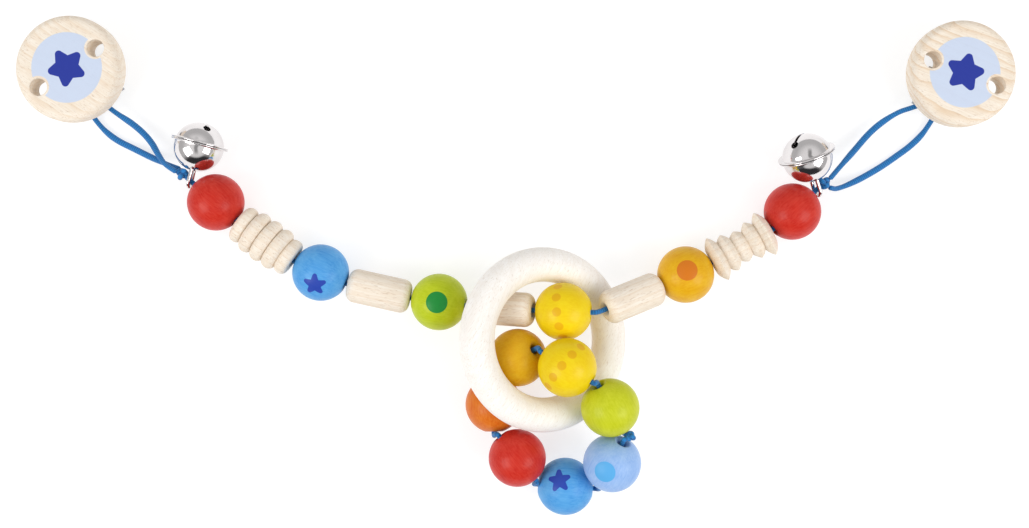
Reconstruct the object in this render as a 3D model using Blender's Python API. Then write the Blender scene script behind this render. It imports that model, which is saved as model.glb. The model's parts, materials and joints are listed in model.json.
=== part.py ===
"""Pram chain toy: wooden beads on elastic cord, a rattle loop linked through a ring,
two jingle bells and a round wooden clip at each end. It lies flat, as if laid out on a table.
Metres, +Z up, the origin under the middle of the whole toy."""

import math

import bmesh
import bpy
from mathutils import Matrix, Vector

MM = 0.001

# Gaps
CLEARANCE = 0.3 * MM            # between pieces that touch
CUT_OVERRUN = 1.0 * MM          # how far a cutter passes a face
MERGE = 0.001 * MM              # joins coincident points

# Turned beads
BALL_DIAMETER = 20.0 * MM
BEAD_BORE = 3.4 * MM
BEAD_MOUTH = 5.4 * MM
MOUTH_DEPTH = 1.0 * MM
CYLINDER_DIAMETER = 12.0 * MM
CYLINDER_LENGTH = 22.6 * MM
CYLINDER_EDGE = 2.6 * MM
BARREL_DIAMETER = 16.1 * MM
BARREL_RIB_WIDTH = 5.0 * MM
BARREL_END_RIB_WIDTH = 4.5 * MM
SPOOL_DIAMETER = 16.8 * MM
SPOOL_RIB_WIDTH = 4.7 * MM

# Shares of a ribbed bead's diameter, from its inner end to its outer end
BARREL_CREST_SHARES = (0.84, 0.975, 1.0, 0.975, 0.86)
BARREL_GROOVE_SHARES = (0.62, 0.76, 0.80, 0.80, 0.74, 0.62)
SPOOL_CREST_SHARES = (0.995, 0.845, 0.715, 0.84, 1.0)
SPOOL_GROOVE_SHARES = (0.62, 0.66, 0.585, 0.575, 0.64, 0.62)
# Along the rib's width, and up from its grooves to its crest
ROUND_RIB_SHARES = ((0.0, 0.0), (0.12, 0.62), (0.34, 1.0), (0.66, 1.0), (0.88, 0.62))
SHARP_RIB_SHARES = ((0.0, 0.0), (0.43, 1.0), (0.57, 1.0))

# Elastic cord
ELASTIC_DIAMETER = 1.8 * MM
ELASTIC_GAP = 0.6 * MM          # between two links of the chain's elastic
BEAD_GAP = 0.8 * MM             # between two threaded beads
HIDDEN_GAP = 2.2 * MM           # the gap that the ring covers
BARE_STRETCH = 4.8 * MM         # bare elastic right of the centre ball
CORD_STEP = 3.0 * MM
ROUTE_SAMPLES = 16              # points read between two points of a route
BEND_PULL_SHARE = 0.4           # how far a bend runs on straight, of the distance it spans
MOUTH_LEAD = 0.5 * MM           # the elastic runs on straight past a ball's mouth

# Teething ring
RING_DIAMETER = 64.2 * MM
RING_SECTION = 12.0 * MM
RING_TILT = 27.8
RING_LOW_SIDE = 4.8             # heading of the side that lies on the table
BALL_BY_RING = 0.5 * MM
NEAR_RING_LIFT = 1.2 * MM       # the taut elastic lifts the balls on both sides of the ring

# Jingle bells
BELL_DIAMETER = 17.5 * MM
BELL_FLANGE = 20.3 * MM
BELL_FLANGE_THICKNESS = 0.7 * MM
BELL_WALL = 0.7 * MM
BELL_SLIT = 1.1 * MM
BELL_SLIT_HOLE = 2.7 * MM
BELL_SLIT_HOLE_ANGLE = 62.0     # from the dome's top
EYE_WIRE = 1.2 * MM
EYE_BEND = 2.3 * MM             # radius of the wire's middle line
EYE_STANDOFF = 3.5 * MM         # from the dome to the middle of the eye
EYE_CLINCH = 1.5 * MM
EYE_FROM_MOUTH = 2.3 * MM       # from the red ball's mouth to the middle of the eye
CLAPPER_DIAMETER = 5.0 * MM

# Knots
KNOT_LENGTH = 4.4 * MM
KNOT_WIDTH = 4.0 * MM
RATTLE_KNOT_DIAMETER = 3.4 * MM
RATTLE_KNOT_STANDOFF = 2.6 * MM

# Clips: a wooden disc over a metal clip, which lies on its lever
DISC_DIAMETER = 37.0 * MM
DISC_THICKNESS = 10.0 * MM
DISC_EDGE = 3.0 * MM
VENT_DIAMETER = 6.0 * MM
VENT_SPACING = 24.0 * MM
STEEL = 0.8 * MM                # sheet thickness
PLATE_HEIGHT = 7.0 * MM         # underside of the base plate above the table
PLATE_WIDTH = 14.8 * MM
PLATE_FRONT = 14.0 * MM         # from the disc's middle
PLATE_BACK = 5.5 * MM
BAR_FROM_MIDDLE = 13.0 * MM
BAR_DIAMETER = 1.6 * MM
BAR_HEIGHT = 3.6 * MM
STRAP_LOOP_WIDTH = 20.0 * MM
STRAP_ARM = 2.0 * MM
EAR_HALF_WIDTH = 1.9 * MM
PIN_DIAMETER = 1.6 * MM
PIN_HEIGHT = 3.6 * MM
PIN_FROM_MIDDLE = 9.0 * MM
PIN_HEAD_DIAMETER = 2.6 * MM
PIN_HEAD = 0.7 * MM
LEVER_WIDTH = 12.4 * MM
LEVER_BACK = 6.0 * MM
LEVER_FLOOR = 0.9 * MM
LEVER_CHEEK_BACK = 2.2 * MM     # height of the cheeks at the lever's free end
CAM_DIAMETER = 3.4 * MM
JAW_PAD_LENGTH = 5.8 * MM
JAW_PAD_WIDTH = 12.6 * MM
JAW_PAD_THICKNESS = 0.9 * MM
RIVET_DIAMETER = 2.6 * MM
RIVET_HEAD_DIAMETER = 5.0 * MM
RIVET_HEAD = 0.8 * MM
RIVET_CROWN_SHARE = 0.8         # of the head's width, at its outer face
RIVET_DEPTH = 5.0 * MM          # of the rivet in the wood

# Facets
BALL_SIDES, BALL_ROWS = 16, 8
BEAD_SIDES = 16
RING_SIDES, RING_STEPS = 12, 36
BELL_SIDES, BELL_ROWS = 20, 5
DISC_SIDES = 32
SMALL_SIDES = 12
EDGE_STEPS = 3
CAM_STEPS = 9
BEND_STEPS = 5
SHARP_ANGLE = math.radians(35.0)

# The chain from the centre ball outwards: node, kind, heading and climb in degrees.
# Where no climb is given, it is worked out so that the next ball comes to its height.
CENTRE_HEADING, CENTRE_CLIMB = -2.0, 8.0
BARE_HEADING, BARE_CLIMB = 10.0, -22.0
LEFT_RUN = (
    ("left_inner_cylinder", "cylinder", 176.5, None),
    ("green_ball", "ball", 172.0, -8.0),
    ("left_outer_cylinder", "cylinder", 167.2, None),
    ("blue_star_ball", "ball", 156.5, 0.0),
    ("ribbed_barrel", "barrel", 144.2, 0.0),
    ("left_red_ball", "ball", 139.5, 0.0),
)
RIGHT_RUN = (
    ("right_cylinder", "cylinder", 21.0, None),
    ("amber_ball", "ball", 24.5, -8.0),
    ("ribbed_spool", "spool", 28.0, None),
    ("right_red_ball", "ball", 41.0, -6.0),
)
LIFTED_BALLS = ("green_ball", "amber_ball")
BEAD_COLOURS = {
    "left_inner_cylinder": "wood", "left_outer_cylinder": "wood", "right_cylinder": "wood",
    "ribbed_barrel": "wood", "ribbed_spool": "wood",
    "green_ball": "lime", "blue_star_ball": "blue", "left_red_ball": "red",
    "amber_ball": "amber", "right_red_ball": "red",
}

# Balls against the ring's tube: degrees round the ring, and round its section
CENTRE_BALL_ON_RING = (60.0, 159.7)
LIME_BALL_ON_RING = (-60.2, 81.6)
ORANGE_BALL_ON_RING = (-122.1, -91.7)
YOLK_BALL_ON_RING = (-148.0, -164.3)
# Heading and climb from one rattle ball to the next
LIME_TO_DOTTED = (136.3, 11.3)
ORANGE_TO_RED = (-65.6, 17.2)
RED_TO_STAR = (-32.7, -15.1)
STAR_TO_PALE = (30.9, 27.3)

# Bells: heading and tilt of the slotted dome, and turn about its own axis
BELLS = {"left": (72.0, 1.0, 45.0), "right": (114.0, 15.0, 30.0)}

# End loops. Heading from a disc's middle to its strap bar; the knot's place and the
# elastic's route are (outward, across, up) from the bar, with up from the table.
CLIP_HEADINGS = {"left": -56.0, "right": -111.9}
KNOT_PLACES = {
    "left": (38.6 * MM, 11.0 * MM),
    "right": (39.4 * MM, -29.5 * MM),
}
LOOP_ROUTES = {
    "left": (
        (36.5, 9.6, 11.3), (32.3, 7.9, 9.4), (27.6, 7.3, 6.6), (22.4, 7.3, 4.6), (17.6, 6.7, 3.9),
        (12.4, 5.3, 4.2), (7.0, 3.2, 5.1), (3.2, 2.0, 5.6), (0.0, 1.5, 5.6), (-2.4, 0.9, 5.1),
        (-3.9, -0.6, 4.1), (-4.1, -2.6, 3.0), (-2.7, -4.4, 2.0), (0.0, -5.1, 1.6),
        (4.6, -5.1, 1.5), (9.3, -4.4, 1.4), (14.2, -2.7, 1.4), (20.0, 0.5, 1.6),
        (25.6, 3.7, 2.7), (30.2, 6.6, 4.7), (33.4, 8.8, 6.7), (36.0, 10.7, 8.5),
    ),
    "right": (
        (36.9, -28.2, 9.5), (32.2, -26.4, 7.9), (24.6, -23.3, 5.0), (16.6, -20.3, 3.9),
        (11.0, -17.4, 4.3), (5.9, -13.6, 5.2), (2.6, -9.8, 5.7), (0.0, -6.9, 5.6),
        (-2.2, -5.4, 5.1), (-3.9, -4.0, 4.2), (-4.2, -2.2, 3.2), (-2.8, -0.7, 2.1),
        (0.0, -0.2, 1.6), (4.4, -0.8, 1.5), (9.4, -2.0, 1.4), (14.6, -4.3, 1.4),
        (20.4, -7.9, 1.4), (26.0, -11.7, 1.5), (31.8, -16.3, 1.7), (36.4, -20.6, 2.8),
        (39.2, -24.0, 4.7), (40.0, -26.4, 6.5),
    ),
}

COLOURS = {
    "wood": ((0.83, 0.69, 0.49), 0.55, 0.0),
    "ring_wood": ((0.88, 0.82, 0.72), 0.55, 0.0),
    "red": ((0.56, 0.04, 0.02), 0.4, 0.0),
    "blue": ((0.08, 0.34, 0.74), 0.4, 0.0),
    "lime": ((0.52, 0.60, 0.02), 0.4, 0.0),
    "yellow": ((0.83, 0.60, 0.01), 0.4, 0.0),
    "amber": ((0.78, 0.38, 0.02), 0.4, 0.0),
    "orange": ((0.76, 0.18, 0.02), 0.4, 0.0),
    "pale_blue": ((0.40, 0.55, 0.86), 0.4, 0.0),
    "elastic": ((0.02, 0.24, 0.58), 0.7, 0.0),
    "nickel": ((0.75, 0.74, 0.72), 0.18, 1.0),
    "steel": ((0.62, 0.62, 0.62), 0.3, 1.0),
    "jaw_plastic": ((0.80, 0.80, 0.78), 0.5, 0.0),
}

BALL_RADIUS = BALL_DIAMETER / 2
BELL_RADIUS = BELL_DIAMETER / 2
RING_RADIUS = (RING_DIAMETER - RING_SECTION) / 2
ORIGIN = Vector((0, 0, 0))
UP = Vector((0, 0, 1))


def unit(heading, climb=0.0):
    """Unit vector at a heading round +Z from +X, and a climb above level, in degrees."""
    turn, rise = math.radians(heading), math.radians(climb)
    return Vector((math.cos(rise) * math.cos(turn), math.cos(rise) * math.sin(turn), math.sin(rise)))


def frame_along(place, along):
    """Frame at a place, its X along a direction and its Z as near up as it can be."""
    x = along.normalized()
    y = UP.cross(x).normalized()
    z = x.cross(y)
    return Matrix.Translation(place) @ Matrix((x, y, z)).transposed().to_4x4()


def clear_scene():
    for obj in list(bpy.data.objects):
        bpy.data.objects.remove(obj, do_unlink=True)


def make_materials():
    made = {}
    for name, (colour, roughness, metallic) in COLOURS.items():
        material = bpy.data.materials.new(name)
        material.use_nodes = True
        shader = material.node_tree.nodes["Principled BSDF"]
        shader.inputs["Base Color"].default_value = (*colour, 1.0)
        shader.inputs["Roughness"].default_value = roughness
        shader.inputs["Metallic"].default_value = metallic
        made[name] = material
    return made


class Assembly:
    """Places pieces by their frames in the toy, each under one empty for the whole toy or
    under a holder: an empty that stands on the axis of the joint that carries the piece."""

    def __init__(self):
        self.materials = make_materials()
        self.frames = {}
        self.root = None
        self.root = self.empty("pram_chain", Matrix.Identity(4))

    def empty(self, name, frame, holder=None):
        obj = bpy.data.objects.new(name, None)
        obj.empty_display_size = BALL_RADIUS
        self.attach(obj, frame, holder)
        return obj

    def attach(self, obj, frame, holder):
        bpy.context.scene.collection.objects.link(obj)
        self.frames[obj.name] = frame
        holder = holder or self.root
        if holder:
            obj.parent = holder
            frame = self.frames[holder.name].inverted() @ frame
        obj.matrix_basis = frame

    def add(self, name, data, frame, colour, holder=None):
        """A named piece of the toy."""
        data.materials.append(self.materials[colour])
        obj = bpy.data.objects.new(name, data)
        self.attach(obj, frame, holder)
        return obj

    def shape(self, piece, name, data, frame, operation="DIFFERENCE"):
        """Cut a shape from a piece, or join one to it. The shape isn't a piece itself."""
        other = bpy.data.objects.new(name, data)
        other.hide_render = True
        other.display_type = "WIRE"
        self.attach(other, frame, piece)
        modifier = piece.modifiers.new(name, "BOOLEAN")
        modifier.operation = operation
        modifier.object = other


def finish_mesh(bm, name):
    bmesh.ops.remove_doubles(bm, verts=bm.verts, dist=MERGE)
    bmesh.ops.recalc_face_normals(bm, faces=bm.faces)
    mesh = bpy.data.meshes.new(name)
    bm.to_mesh(mesh)
    bm.free()
    mesh.shade_smooth()
    mesh.set_sharp_from_angle(angle=SHARP_ANGLE)
    return mesh


def turned(name, profile, sides, turn=0.0):
    """Body turned about X. The profile holds (along, radius) points: a closed loop round a
    bore, or a line from one pole to another. Its facets start at the given turn."""
    bm = bmesh.new()
    points = [bm.verts.new((along, 0.0, radius)) for along, radius in profile]
    has_bore = profile[0][1] > MERGE
    follows = points[1:] + points[:1] if has_bore else points[1:]
    edges = [bm.edges.new(pair) for pair in zip(points, follows)]
    bmesh.ops.spin(bm, geom=points + edges, cent=ORIGIN, axis=(1, 0, 0), dvec=ORIGIN,
                   angle=math.tau, steps=sides, use_merge=True)
    bmesh.ops.rotate(bm, verts=bm.verts, cent=ORIGIN, matrix=Matrix.Rotation(turn, 3, "X"))
    return finish_mesh(bm, name)


def extruded(name, outline, low, high):
    """An outline of (x, z) points, extruded along Y from low to high."""
    bm = bmesh.new()
    face = bm.faces.new([bm.verts.new((x, low, z)) for x, z in outline])
    side = bmesh.ops.extrude_face_region(bm, geom=[face])
    moved = [item for item in side["geom"] if isinstance(item, bmesh.types.BMVert)]
    bmesh.ops.translate(bm, verts=moved, vec=(0.0, high - low, 0.0))
    return finish_mesh(bm, name)


def block(name, x, y, z):
    """A box between the low and high values of x, y and z."""
    return extruded(name, [(x[0], z[0]), (x[1], z[0]), (x[1], z[1]), (x[0], z[1])], *y)


def rod(name, radius, low, high, sides=SMALL_SIDES):
    """A round bar about X from low to high. Its corners keep off the facets that it cuts."""
    profile = [(low, 0.0), (low, radius), (high, radius), (high, 0.0)]
    return turned(name, profile, sides, math.pi / sides / 3)


def arc(centre, radius, start, end, steps):
    """Points (along, radius) on an arc, with angles in degrees from +along."""
    spread = [math.radians(start + (end - start) * i / steps) for i in range(steps + 1)]
    return [(centre[0] + radius * math.cos(a), centre[1] + radius * math.sin(a)) for a in spread]


def tube(name, points, diameter):
    """A cord or wire as a curve with a round bevel and filled caps."""
    curve = bpy.data.curves.new(name, "CURVE")
    curve.dimensions = "3D"
    curve.bevel_depth = diameter / 2
    curve.bevel_resolution = 2
    curve.use_fill_caps = True
    spline = curve.splines.new("POLY")
    spline.points.add(len(points) - 1)
    for target, point in zip(spline.points, points):
        target.co = (*point, 1.0)
    return curve


def smooth_route(route, step):
    """Points at even steps along a Catmull-Rom curve through the route's points."""
    route = [Vector(point) for point in route]
    ends = [2 * route[0] - route[1]] + route + [2 * route[-1] - route[-2]]
    fine = []
    for a, b, c, d in zip(ends, ends[1:], ends[2:], ends[3:]):
        for i in range(ROUTE_SAMPLES):
            t = i / ROUTE_SAMPLES
            fine.append(0.5 * (2 * b + (c - a) * t + (2 * a - 5 * b + 4 * c - d) * t ** 2
                               + (3 * b - a - 3 * c + d) * t ** 3))
    fine.append(route[-1])
    lengths = [0.0]
    for a, b in zip(fine, fine[1:]):
        lengths.append(lengths[-1] + (b - a).length)
    count = max(2, round(lengths[-1] / step))
    even, at = [], 0
    for i in range(count + 1):
        target = lengths[-1] * i / count
        while at < len(lengths) - 2 and lengths[at + 1] < target:
            at += 1
        span = lengths[at + 1] - lengths[at]
        even.append(fine[at].lerp(fine[at + 1], (target - lengths[at]) / span))
    return even


def bend(start, start_along, end, end_along, steps):
    """Points of a smooth bend between two straight stretches, without its two ends."""
    pull = (end - start).length * BEND_PULL_SHARE
    first, second = start + start_along * pull, end - end_along * pull
    points = []
    for i in range(1, steps):
        t = i / steps
        points.append(start * (1 - t) ** 3 + first * 3 * t * (1 - t) ** 2
                      + second * 3 * t ** 2 * (1 - t) + end * t ** 3)
    return points


def ball_half():
    """From a ball's middle to the flat ring of its bore's mouth."""
    return math.sqrt(BALL_RADIUS ** 2 - (BEAD_MOUTH / 2) ** 2)


def barrel_widths():
    between = len(BARREL_CREST_SHARES) - 2
    return [BARREL_END_RIB_WIDTH] + [BARREL_RIB_WIDTH] * between + [BARREL_END_RIB_WIDTH]


def spool_widths():
    return [SPOOL_RIB_WIDTH] * len(SPOOL_CREST_SHARES)


def half_length(kind):
    return {"ball": ball_half(), "cylinder": CYLINDER_LENGTH / 2,
            "barrel": sum(barrel_widths()) / 2, "spool": sum(spool_widths()) / 2}[kind]


def with_bore(outside, half):
    """Close an outside profile with a countersunk bore."""
    mouth, bore, inner = BEAD_MOUTH / 2, BEAD_BORE / 2, half - MOUTH_DEPTH
    return outside + [(half, mouth), (inner, bore), (-inner, bore), (-half, mouth)]


def ball_profile():
    edge = math.degrees(math.asin(BEAD_MOUTH / 2 / BALL_RADIUS))
    outside = arc((0.0, 0.0), BALL_RADIUS, 180.0 - edge, edge, BALL_ROWS)
    return with_bore(outside[1:-1], ball_half())


def cylinder_profile():
    half, flat = CYLINDER_LENGTH / 2, CYLINDER_DIAMETER / 2 - CYLINDER_EDGE
    inner = half - CYLINDER_EDGE
    outside = arc((-inner, flat), CYLINDER_EDGE, 180.0, 90.0, EDGE_STEPS)
    outside += arc((inner, flat), CYLINDER_EDGE, 90.0, 0.0, EDGE_STEPS)
    return with_bore(outside, half)


def ribbed_profile(diameter, widths, crests, grooves, rib_shares):
    """Ribs side by side, each rising from the groove before it to its crest and falling to
    the groove after it."""
    half = sum(widths) / 2
    outside, start = [], -half
    for i, width in enumerate(widths):
        for along_share, up_share in rib_shares:
            foot = grooves[i] if along_share < 0.5 else grooves[i + 1]
            radius = diameter / 2 * (foot + (crests[i] - foot) * up_share)
            outside.append((start + width * along_share, radius))
        start += width
    outside.append((half, diameter / 2 * grooves[-1]))
    return with_bore(outside, half)


def bead_mesh(kind):
    if kind == "ball":
        return turned(kind, ball_profile(), BALL_SIDES)
    if kind == "cylinder":
        return turned(kind, cylinder_profile(), BEAD_SIDES)
    if kind == "barrel":
        profile = ribbed_profile(BARREL_DIAMETER, barrel_widths(), BARREL_CREST_SHARES,
                                 BARREL_GROOVE_SHARES, ROUND_RIB_SHARES)
    else:
        profile = ribbed_profile(SPOOL_DIAMETER, spool_widths(), SPOOL_CREST_SHARES,
                                 SPOOL_GROOVE_SHARES, SHARP_RIB_SHARES)
    return turned(kind, profile, BEAD_SIDES)


def ring_axes():
    """The ring's axis, and the two directions in its plane: to its low side, and across."""
    tilt = math.radians(RING_TILT)
    low = unit(RING_LOW_SIDE)
    axis = low * math.sin(tilt) + UP * math.cos(tilt)
    downhill = low * math.cos(tilt) - UP * math.sin(tilt)
    return axis, downhill, axis.cross(downhill)


def ring_middle():
    lowest = RING_RADIUS * math.sin(math.radians(RING_TILT)) + RING_SECTION / 2
    return Vector((0.0, 0.0, lowest + CLEARANCE))


def by_ring(around, section, gap=BALL_BY_RING):
    """Middle of a ball that lies against the ring's tube."""
    axis, downhill, across = ring_axes()
    turn, roll = math.radians(around), math.radians(section)
    outward = downhill * math.cos(turn) + across * math.sin(turn)
    away = outward * math.cos(roll) + axis * math.sin(roll)
    reach = BALL_RADIUS + RING_SECTION / 2 + gap
    return ring_middle() + outward * RING_RADIUS + away * reach


def ball_height(node):
    return BALL_RADIUS + (NEAR_RING_LIFT if node in LIFTED_BALLS else 0.0)


def gap_before(node):
    return HIDDEN_GAP if node == "green_ball" else BEAD_GAP


def walk(start, run):
    """Stations of the beads along a run. Each has its middle, its direction, and the pivots
    in the middle of the gaps before and after it."""
    stations, pivot = [], start
    for index, (node, kind, heading, climb) in enumerate(run):
        half = half_length(kind)
        before = gap_before(node) / 2
        has_next = index + 1 < len(run)
        after = gap_before(run[index + 1][0]) / 2 if has_next else 0.0
        if climb is None:
            next_node, next_kind, _, next_climb = run[index + 1]
            next_reach = half_length(next_kind) + after
            next_pivot = ball_height(next_node) - next_reach * math.sin(math.radians(next_climb))
            climb = math.degrees(math.asin((next_pivot - pivot.z) / (before + 2 * half + after)))
        along = unit(heading, climb)
        middle = pivot + along * (before + half)
        outer = middle + along * (half + after)
        stations.append({"node": node, "kind": kind, "middle": middle, "along": along,
                         "inner": pivot, "outer": outer, "half": half})
        pivot = outer
    return stations


def chain_layout():
    """The centre ball's station, and the runs to the left and to the right of it."""
    middle = by_ring(*CENTRE_BALL_ON_RING)
    along = unit(CENTRE_HEADING, CENTRE_CLIMB)
    left_pivot = middle - along * (ball_half() + BEAD_GAP / 2)
    right_mouth = middle + along * ball_half()
    right_pivot = right_mouth + unit(BARE_HEADING, BARE_CLIMB) * BARE_STRETCH
    centre = {"node": "centre_ball", "kind": "ball", "middle": middle, "along": along,
              "left": left_pivot, "mouth": right_mouth, "right": right_pivot}
    return centre, walk(left_pivot, LEFT_RUN), walk(right_pivot, RIGHT_RUN)


def add_bead(toy, meshes, node, kind, middle, along, colour, holder=None):
    """A bead, with its origin in its middle on the axis of its bore."""
    if (kind, colour) not in meshes:
        meshes[kind, colour] = bead_mesh(kind)
    toy.add(node, meshes[kind, colour].copy(), frame_along(middle, along), colour, holder)


def add_elastic(toy, name, points, holder=None):
    """A stretch of elastic, with its origin at its first point."""
    start = points[0]
    toy.add(name, tube(name, [point - start for point in points], ELASTIC_DIAMETER),
            Matrix.Translation(start), "elastic", holder)


def build_chain(toy, meshes, centre, left, right):
    """The centre ball's elastic, and a run of links to each side of it. A link is a bead on
    its stretch of elastic. It hangs on the link before it. Gives the last link's holder on
    each side."""
    add_bead(toy, meshes, centre["node"], "ball", centre["middle"], centre["along"], "yellow")
    tip = ELASTIC_GAP / 2
    out_of_ball = centre["along"]
    into_cylinder = right[0]["along"]
    end = centre["right"] - into_cylinder * tip
    points = [centre["left"] + out_of_ball * tip, centre["middle"], centre["mouth"]]
    points += bend(centre["mouth"], out_of_ball, end, into_cylinder, BEND_STEPS) + [end]
    add_elastic(toy, "centre_elastic", points)
    holders = {}
    for run, side in ((left, "left"), (right, "right")):
        holder = None
        for number, station in enumerate(run, start=1):
            along = station["along"]
            frame = frame_along(station["inner"], along)
            holder = toy.empty(f"{side}_link_{number}_hinge", frame, holder)
            add_bead(toy, meshes, station["node"], station["kind"], station["middle"], along,
                     BEAD_COLOURS[station["node"]], holder)
            end = loop_pivot(station) if station is run[-1] else station["outer"]
            stretch = [station["inner"] + along * tip, end - along * tip]
            add_elastic(toy, f"{side}_elastic_{number}", stretch, holder)
        holders[side] = holder
    return holders


def eye_reach():
    """From a red ball's middle to the middle of the bell's eye."""
    return ball_half() + EYE_FROM_MOUTH


def loop_pivot(station):
    """Where an end loop bends against the chain, just outside the bell's eye."""
    reach = eye_reach() + EYE_WIRE / 2 + CLEARANCE + ELASTIC_GAP / 2
    return station["middle"] + station["along"] * reach


def knot_middle(station):
    return loop_pivot(station) + station["along"] * (ELASTIC_GAP / 2 + KNOT_LENGTH / 2)


def lump(name, length, width):
    """A tightened knot as a rounded lump along X."""
    steps = SMALL_SIDES // 2
    half_circle = arc((0.0, 0.0), 1.0, 180.0, 0.0, steps)
    profile = [(x * length / 2, r * width / 2) for x, r in half_circle]
    profile[0], profile[-1] = (-length / 2, 0.0), (length / 2, 0.0)
    return turned(name, profile, SMALL_SIDES)


def clip_frame(side, knot):
    """Frame of a clip: X outward from the disc over the strap bar, and the origin under the
    middle of the bar, on the table. The knot's named place in it gives where it stands."""
    along = unit(CLIP_HEADINGS[side])
    across = UP.cross(along)
    outward, sideways = KNOT_PLACES[side]
    bar = knot - along * outward - across * sideways
    bar.z = 0.0
    return frame_along(bar, along)


def build_end(toy, side, station, link):
    """One end of the chain: knot, elastic loop, bell and clip."""
    knot = knot_middle(station)
    holder = toy.empty(f"{side}_loop_hinge", frame_along(loop_pivot(station), station["along"]), link)
    toy.add(f"{side}_knot", lump("knot", KNOT_LENGTH, KNOT_WIDTH),
            frame_along(knot, station["along"]), "elastic", holder)
    frame = clip_frame(side, knot)
    route = [Vector(point) * MM for point in LOOP_ROUTES[side]]
    loop = [frame @ point for point in smooth_route(route, CORD_STEP)]
    add_elastic(toy, f"{side}_loop", loop, holder)
    build_clip(toy, side, frame, toy.empty(f"{side}_clip_swivel", frame, holder))
    build_bell(toy, side, station, link)


def bell_frame(side, station):
    """Frame of a bell: X through the slotted dome, and the eye's plane across the elastic."""
    heading, tilt, _ = BELLS[side]
    along = unit(heading, tilt)
    eye = station["middle"] + station["along"] * eye_reach()
    middle = eye + along * (BELL_RADIUS + EYE_STANDOFF)
    across = (station["along"] - along * station["along"].dot(along)).normalized()
    axes = Matrix((along, across, along.cross(across))).transposed()
    return Matrix.Translation(middle) @ axes.to_4x4()


def shell_profile():
    """Half of a bell: its flange, its dome and the inside of the dome."""
    start = CLEARANCE / 2
    top = start + BELL_FLANGE_THICKNESS
    low_angle = math.degrees(math.asin(top / BELL_RADIUS))
    outer = arc((0.0, 0.0), BELL_RADIUS, 90.0 - low_angle, 0.0, BELL_ROWS)
    inside = BELL_RADIUS - BELL_WALL
    inner_angle = math.degrees(math.asin(start / inside))
    inner = arc((0.0, 0.0), inside, 0.0, 90.0 - inner_angle, BELL_ROWS)
    outer[-1], inner[0] = (BELL_RADIUS, 0.0), (inside, 0.0)
    rim = [(start, BELL_FLANGE / 2), (top, BELL_FLANGE / 2)]
    return [inner[0]] + inner[1:] + rim + outer


def build_bell(toy, side, station, link):
    frame = bell_frame(side, station)
    eye = station["middle"] + station["along"] * eye_reach()
    hinge = toy.empty(f"{side}_bell_hinge", frame_along(eye, station["along"]), link)
    spin = Matrix.Rotation(math.radians(BELLS[side][2]), 4, "X")
    flip = Matrix.Rotation(math.pi, 4, "Z")
    upper = toy.add(f"{side}_bell_slotted_shell", turned("shell", shell_profile(), BELL_SIDES),
                    frame @ spin, "nickel", hinge)
    lower = toy.add(f"{side}_bell_eye_shell", turned("shell", shell_profile(), BELL_SIDES),
                    frame @ flip, "nickel", hinge)
    reach = BELL_RADIUS + CUT_OVERRUN
    hole_angle = math.radians(BELL_SLIT_HOLE_ANGLE)
    long_half, low = BELL_RADIUS * math.sin(hole_angle), BELL_RADIUS * math.cos(hole_angle)
    slit = block("slit", (low, reach), (-BELL_SLIT / 2, BELL_SLIT / 2), (-long_half, long_half))
    for quarter in range(2):
        turn = Matrix.Rotation(quarter * math.pi / 2, 4, "X")
        toy.shape(upper, f"{side}_slit_{quarter + 1}", slit.copy(), frame @ spin @ turn)
    inside = BELL_RADIUS - BELL_WALL - CUT_OVERRUN
    drill = rod("slit_hole", BELL_SLIT_HOLE / 2, inside, reach)
    for quarter in range(4):
        turn = Matrix.Rotation(quarter * math.pi / 2, 4, "X")
        place = frame @ spin @ turn @ Matrix.Rotation(hole_angle, 4, "Y")
        toy.shape(upper, f"{side}_slit_hole_{quarter + 1}", drill.copy(), place)
    build_bell_eye(toy, side, frame, hinge, lower)
    drop = BELL_RADIUS - BELL_WALL - CLAPPER_DIAMETER / 2 - 2 * CLEARANCE
    place = frame.translation - UP * drop
    toy.add(f"{side}_bell_clapper", lump("clapper", CLAPPER_DIAMETER, CLAPPER_DIAMETER),
            frame_along(place, frame.to_3x3() @ Vector((1, 0, 0))), "steel", hinge)


def build_bell_eye(toy, side, frame, hinge, lower):
    """The wire eye, whose two legs pass through the lower shell and are clinched inside."""
    eye = -(BELL_RADIUS + EYE_STANDOFF)
    inside = -(BELL_RADIUS - BELL_WALL)
    neck = (inside + EYE_WIRE, EYE_BEND)
    clinch = (inside + EYE_WIRE + EYE_CLINCH, EYE_BEND + EYE_CLINCH)
    bow = arc((eye, 0.0), EYE_BEND, 90.0, 270.0, SMALL_SIDES // 2)
    top = [clinch, neck] + bow[:1]
    bottom = [bow[-1]] + [(x, -z) for x, z in (neck, clinch)]
    points = [Vector((x, 0.0, z)) for x, z in top + bow[1:-1] + bottom]
    toy.add(f"{side}_bell_eye", tube("eye", points, EYE_WIRE), frame, "nickel", hinge)
    drill = rod("leg_hole", EYE_WIRE / 2 + CLEARANCE, -BELL_RADIUS - CUT_OVERRUN, inside + CUT_OVERRUN)
    for hole, height in (("upper", EYE_BEND), ("lower", -EYE_BEND)):
        place = frame @ Matrix.Translation((0.0, 0.0, height))
        toy.shape(lower, f"{side}_{hole}_leg_hole", drill.copy(), place)


def upright(place):
    """Turns a body turned about X to stand upright at a place."""
    return Matrix.Translation(place) @ Matrix.Rotation(-math.pi / 2, 4, "Y")


def sideways(place):
    """Turns a body turned about X to lie along Y at a place."""
    return Matrix.Translation(place) @ Matrix.Rotation(math.pi / 2, 4, "Z")


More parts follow.
